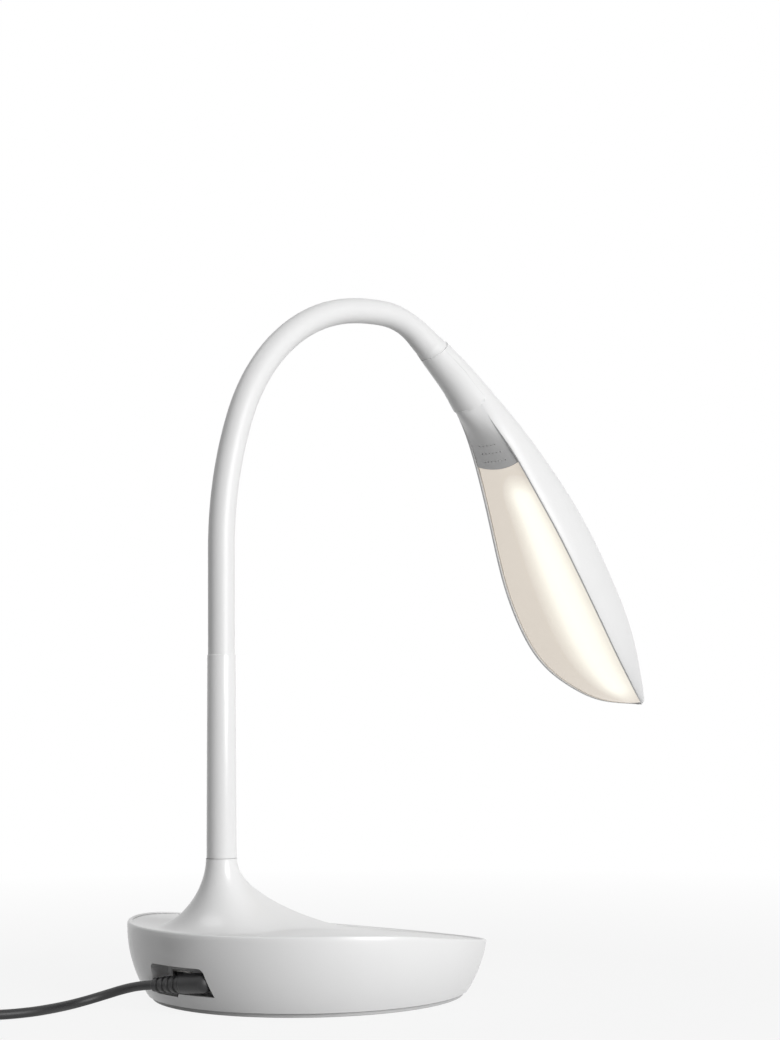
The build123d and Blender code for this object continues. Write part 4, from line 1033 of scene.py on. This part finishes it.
def makeDiffuser():
    # A bowed strip inside the rims, from the curved seam to the point.
    start = head["seam"] + head["gap"]
    length = diffuser["end"] - start
    rows = (start + length * np.linspace(0, 1, diffuser["rows"]))[:, None]
    u = rows - seamCurve(rows) * np.clip(1 - (rows - start) / diffuser["seamLength"], 0, 1) ** 2
    rim, rimWide = headSizes(u, "rim", "rimWide")
    y = np.maximum(rimWide - head["wall"] - head["gap"], diffuser["leastWide"]) * overHead
    edge = np.clip((abs(overHead) - diffuser["edge"]) / diffuser["edgeWide"], 0, 1) ** 2
    lower = rim + diffuser["lift"] - diffuser["bow"] * (1 - overHead**2) + diffuser["edgeLift"] * edge
    along = (thereAndBack(u) - start) / length
    side = thereAndBack(np.broadcast_to((overHead + 1) / 2, u.shape))
    v = thereAndBack(lower, rim + diffuser["thick"])
    uv = np.stack([along, side], -1)
    piece = stripMesh("diffuser", thereAndBack(u), thereAndBack(y), v, uv, diffuser["crease"])
    return finishPiece(piece, "head", "opal", "diffuser")


makeHeadShell()
makeUnderCover()
makeDiffuser()
print("head made")

plug = {
    "start": (-76.0, -10.5, 13.6),
    "swing": 5.0, "dip": 6.0,
    "dip": 6.0,
    "tail": 7.4, "tailFlat": 0.8, "tailSteps": 12,
    "tailFlat": 0.8,
    "body": 4.3, "front": 8.5,
    "front": 8.5,
    "frontEdge": ((0.0, 0.8), (0.15, 0.3), (0.5, 0.0)),  # how far in, and how far back
    "sleeveLength": 17.5, "sleeveRoot": 4.0, "sleeveTip": 3.0,
    "sleeveRoot": 4.0,
    "sleeveRows": 71, "sleeveEdge": 0.4, "tipEdge": 0.25,
    "sleeveEdge": 0.4,
    "grooves": (2.9, 6.5, 10.1, 13.7),
    "grooveDeep": 0.75, "grooveHalf": 0.65, "grooveSharp": 14.0,
    "grooveHalf": 0.65,
    "collar": 3.6, "collarEnd": -68.9, "collarEdge": 0.4,
    "collarEnd": -68.9,
    "crease": 38.0, "stepsRound": 64,
    "stepsRound": 64,
}
plugSwing, plugDip = radians(plug["swing"]), radians(plug["dip"])
plugWay = np.array((-sin(plugSwing) * cos(plugDip), cos(plugSwing) * cos(plugDip), -sin(plugDip)))


def makePlug():
    # A rounded body turned about the lead's direction, with a ribbed sleeve, and a collar towards the socket.
    front, wide, steps = plug["front"], plug["body"], plug["stepsRound"]
    angles = np.linspace(0, pi / 2, plug["tailSteps"])
    profile = [(wide * sin(a), -plug["tail"] + wide * (1 - cos(a)) * plug["tailFlat"]) for a in angles]
    profile += [(wide - inset, front - back) for inset, back in plug["frontEdge"]]
    root, tip, length = plug["sleeveRoot"], plug["sleeveTip"], plug["sleeveLength"]
    for at in np.linspace(0, length - plug["sleeveEdge"], plug["sleeveRows"]):
        away = min(abs(at - groove) for groove in plug["grooves"])
        groove = plug["grooveDeep"] / (1 + np.exp((away - plug["grooveHalf"]) * plug["grooveSharp"]))
        profile.append((root + (tip - root) * at / length - groove, front + at))
    profile += [(tip - plug["tipEdge"], front + length), (0.0, front + length)]
    start = np.array(plug["start"])
    square = np.cross(plugWay, (0, 0, 1.0))
    square /= np.linalg.norm(square)
    body = makeTurned("plugBody", profile, steps, start, plugWay, square)
    reach, radius = plug["collarEnd"] - start[0], plug["collar"]
    ring = roundProfile([(0, 0), (radius, 0), (radius, reach), (0, reach)], plug["collarEdge"])
    combine(body, makeTurned("collar", ring, steps, start, (1, 0, 0), (0, 0, 1)), "UNION")
    tidyMesh(body.data, plug["crease"])
    return finishPiece(body, "lead", "black_rubber", "dc_plug")


lead = {
    "diameter": 4.2, "straight": 8.2,
    "straight": 8.2,
    "free": (
        (-80.6, 33.2, 7.8), (-85.0, 40.0, 5.3), (-92.2, 44.2, 3.2), (-101.4, 45.0, 2.1),
        (-112.6, 42.4, 2.1), (-125.0, 41.2, 2.1), (-139.6, 45.6, 2.1),
    ),
    "runIn": (15.2, 4.2),
    "coilMiddle": (-158.0, 84.0, 3.3), "coilHeading": 155.0,
    "coilHeading": 155.0,
    "radii": (25.65, 23.3, 20.95, 18.6),
    "inmost": 16.25, "outmost": 28.0, "climb": 4.75, "end": 14.0,
    "outmost": 28.0,
    "perHalfTurn": 8, "measureSteps": 9,
    "measureSteps": 9,
    "bevel": 3, "resolution": 4, "order": 3,
    "resolution": 4,
}


def leadPoints():
    tip = np.array(plug["start"]) + plugWay * (plug["front"] + plug["sleeveLength"])
    heading = radians(lead["coilHeading"])
    ahead = np.array((cos(heading), sin(heading), 0.0))
    side = np.array((sin(heading), -cos(heading), 0.0))
    radii, inmost, outmost = lead["radii"], lead["inmost"], lead["outmost"]
    # each half turn's radius and climb: in, up, out, up, in, up, out, and a last one to the tail
    turns = [(r, 0) for r in radii] + [(inmost, lead["climb"])] + [(r, 0) for r in radii[::-1]]
    turns = turns + [(outmost, lead["climb"])] + turns + [(outmost, 0)]
    place = np.array(lead["coilMiddle"]) - side * radii[0]
    points = [tip, tip + plugWay * lead["straight"], *map(np.array, lead["free"])]
    points += [place - ahead * back for back in lead["runIn"]]
    sign, count = 1, lead["perHalfTurn"]
    angles = pi * (np.arange(count) + 0.5) / count
    stretch = 1 / cos(pi / count / 2)  # so that the curve itself, inside its points, has the radius
    for radius, climb in turns:
        finish = place + side * sign * np.sqrt(4 * radius**2 - climb**2) + (0, 0, climb)
        middle, along = (place + finish) / 2, (place - finish) / (2 * radius)
        for angle in angles:
            points.append(middle + radius * stretch * (along * cos(angle) + ahead * sign * sin(angle)))
        place, sign = finish, -sign
    points += [place, place + ahead * sign * lead["end"]]
    return np.array(points)


def makeLead():
    points = leadPoints()
    curve = bpy.data.curves.new("powerLead", "CURVE")
    curve.dimensions = "3D"
    curve.bevel_depth = lead["diameter"] / 2 * mm
    curve.bevel_resolution = lead["bevel"]
    curve.resolution_u = lead["resolution"]
    curve.use_fill_caps = True
    spline = curve.splines.new("NURBS")
    spline.points.add(len(points) - 1)
    spline.points.foreach_set("co", np.column_stack([points * mm, np.ones(len(points))]).ravel())
    spline.order_u = lead["order"]
    spline.use_endpoint_u = True
    piece = addObject("powerLead", curve)
    finishPiece(piece, "lead", "black_rubber", "power_lead", "lead_coil")


makePlug()
makeLead()

# the CAD nodes that stay as they are
for part in frame["record"]["subparts"]:
    node = nodes[part["node"]]
    node.data.materials.clear()
    node.data.materials.append(materials[part["material_slot"]])
print("CAD nodes painted")

room = {
    "floorRadius": 4.0, "floorSteps": 96,
    "floorSteps": 96,
    "near": 0.2,  # the floor shows some shadow up to here, and turns into pure background by far
    "far": 0.7,
    "floor": (0.42, 0.42, 0.42), "floorRough": 0.9, "floorWhite": 0.88,
    "floorRough": 0.9,
    "world": 0.22,
    "lights": (  # name, place, target, size and power
        ("key", (-0.12, -1.56, 0.5), (0, 0, 0.1), 0.8, 22.0),
        ("top", (-0.4, 0.7, 1.8), (0, 0, 0.1), 0.9, 5.0),
    ),
}


def makeFloor():
    mesh = bpy.data.meshes.new("floor")
    count = room["floorSteps"]
    turn = turnSteps(count)
    ring = np.column_stack([np.cos(turn), np.sin(turn), 0 * turn]) * room["floorRadius"]
    faces = [(0, k + 1, (k + 1) % count + 1) for k in range(count)]
    mesh.from_pydata([(0, 0, 0), *ring.tolist()], [], faces)
    mesh.update()
    floor = addObject("floor", mesh)
    shader = Shader("floor")
    shader.finish(Base_Color=room["floor"], Roughness=room["floorRough"])
    x, y = shader.parts(shader.place())
    share = ((x * x + y * y) ** 0.5 - room["near"]) / (room["far"] - room["near"])
    share = shader.maths("MINIMUM", shader.maths("MAXIMUM", share, 0.0), 1.0)
    backdrop = shader.seen() * (room["floorWhite"] + (1 - room["floorWhite"]) * share)
    lit = Wire(shader, shader.surface.outputs[0])
    mixed = shader.node("MixShader", None, {0: backdrop, 1: lit, 2: shader.node("Emission")})
    shader.plug(shader.tree.nodes["Material Output"].inputs[0], mixed)
    mesh.materials.append(shader.material)


def makeWorld():
    # Dim for the light it gives, and white where it is looked at.
    world = bpy.data.worlds.new("room")
    bpy.context.scene.world = world
    world.use_nodes = True
    tree = world.node_tree
    path = tree.nodes.new("ShaderNodeLightPath")
    level = tree.nodes.new("ShaderNodeValue").outputs[0]
    level.default_value = room["world"]
    for kind in backdropRays:
        pick = tree.nodes.new("ShaderNodeMix")
        tree.links.new(path.outputs[f"Is {kind} Ray"], pick.inputs["Factor"])
        tree.links.new(level, pick.inputs["A"])
        pick.inputs["B"].default_value = 1.0
        level = pick.outputs[0]
    backdrop = tree.nodes["Background"]
    tree.links.new(level, backdrop.inputs["Strength"])
    backdrop.inputs["Color"].default_value = (1, 1, 1, 1)


def makeLights():
    for name, at, target, size, power in room["lights"]:
        lamp = bpy.data.lights.new(name, "AREA")
        lamp.shape, lamp.size, lamp.energy = "DISK", size, power
        made = addObject(name, lamp)
        made.location = at
        made.rotation_euler = (Vector(target) - Vector(at)).to_track_quat("-Z", "Y").to_euler()


makeFloor()
makeWorld()
makeLights()
scene = bpy.context.scene
scene.view_settings.view_transform = "Standard"
print("room made")
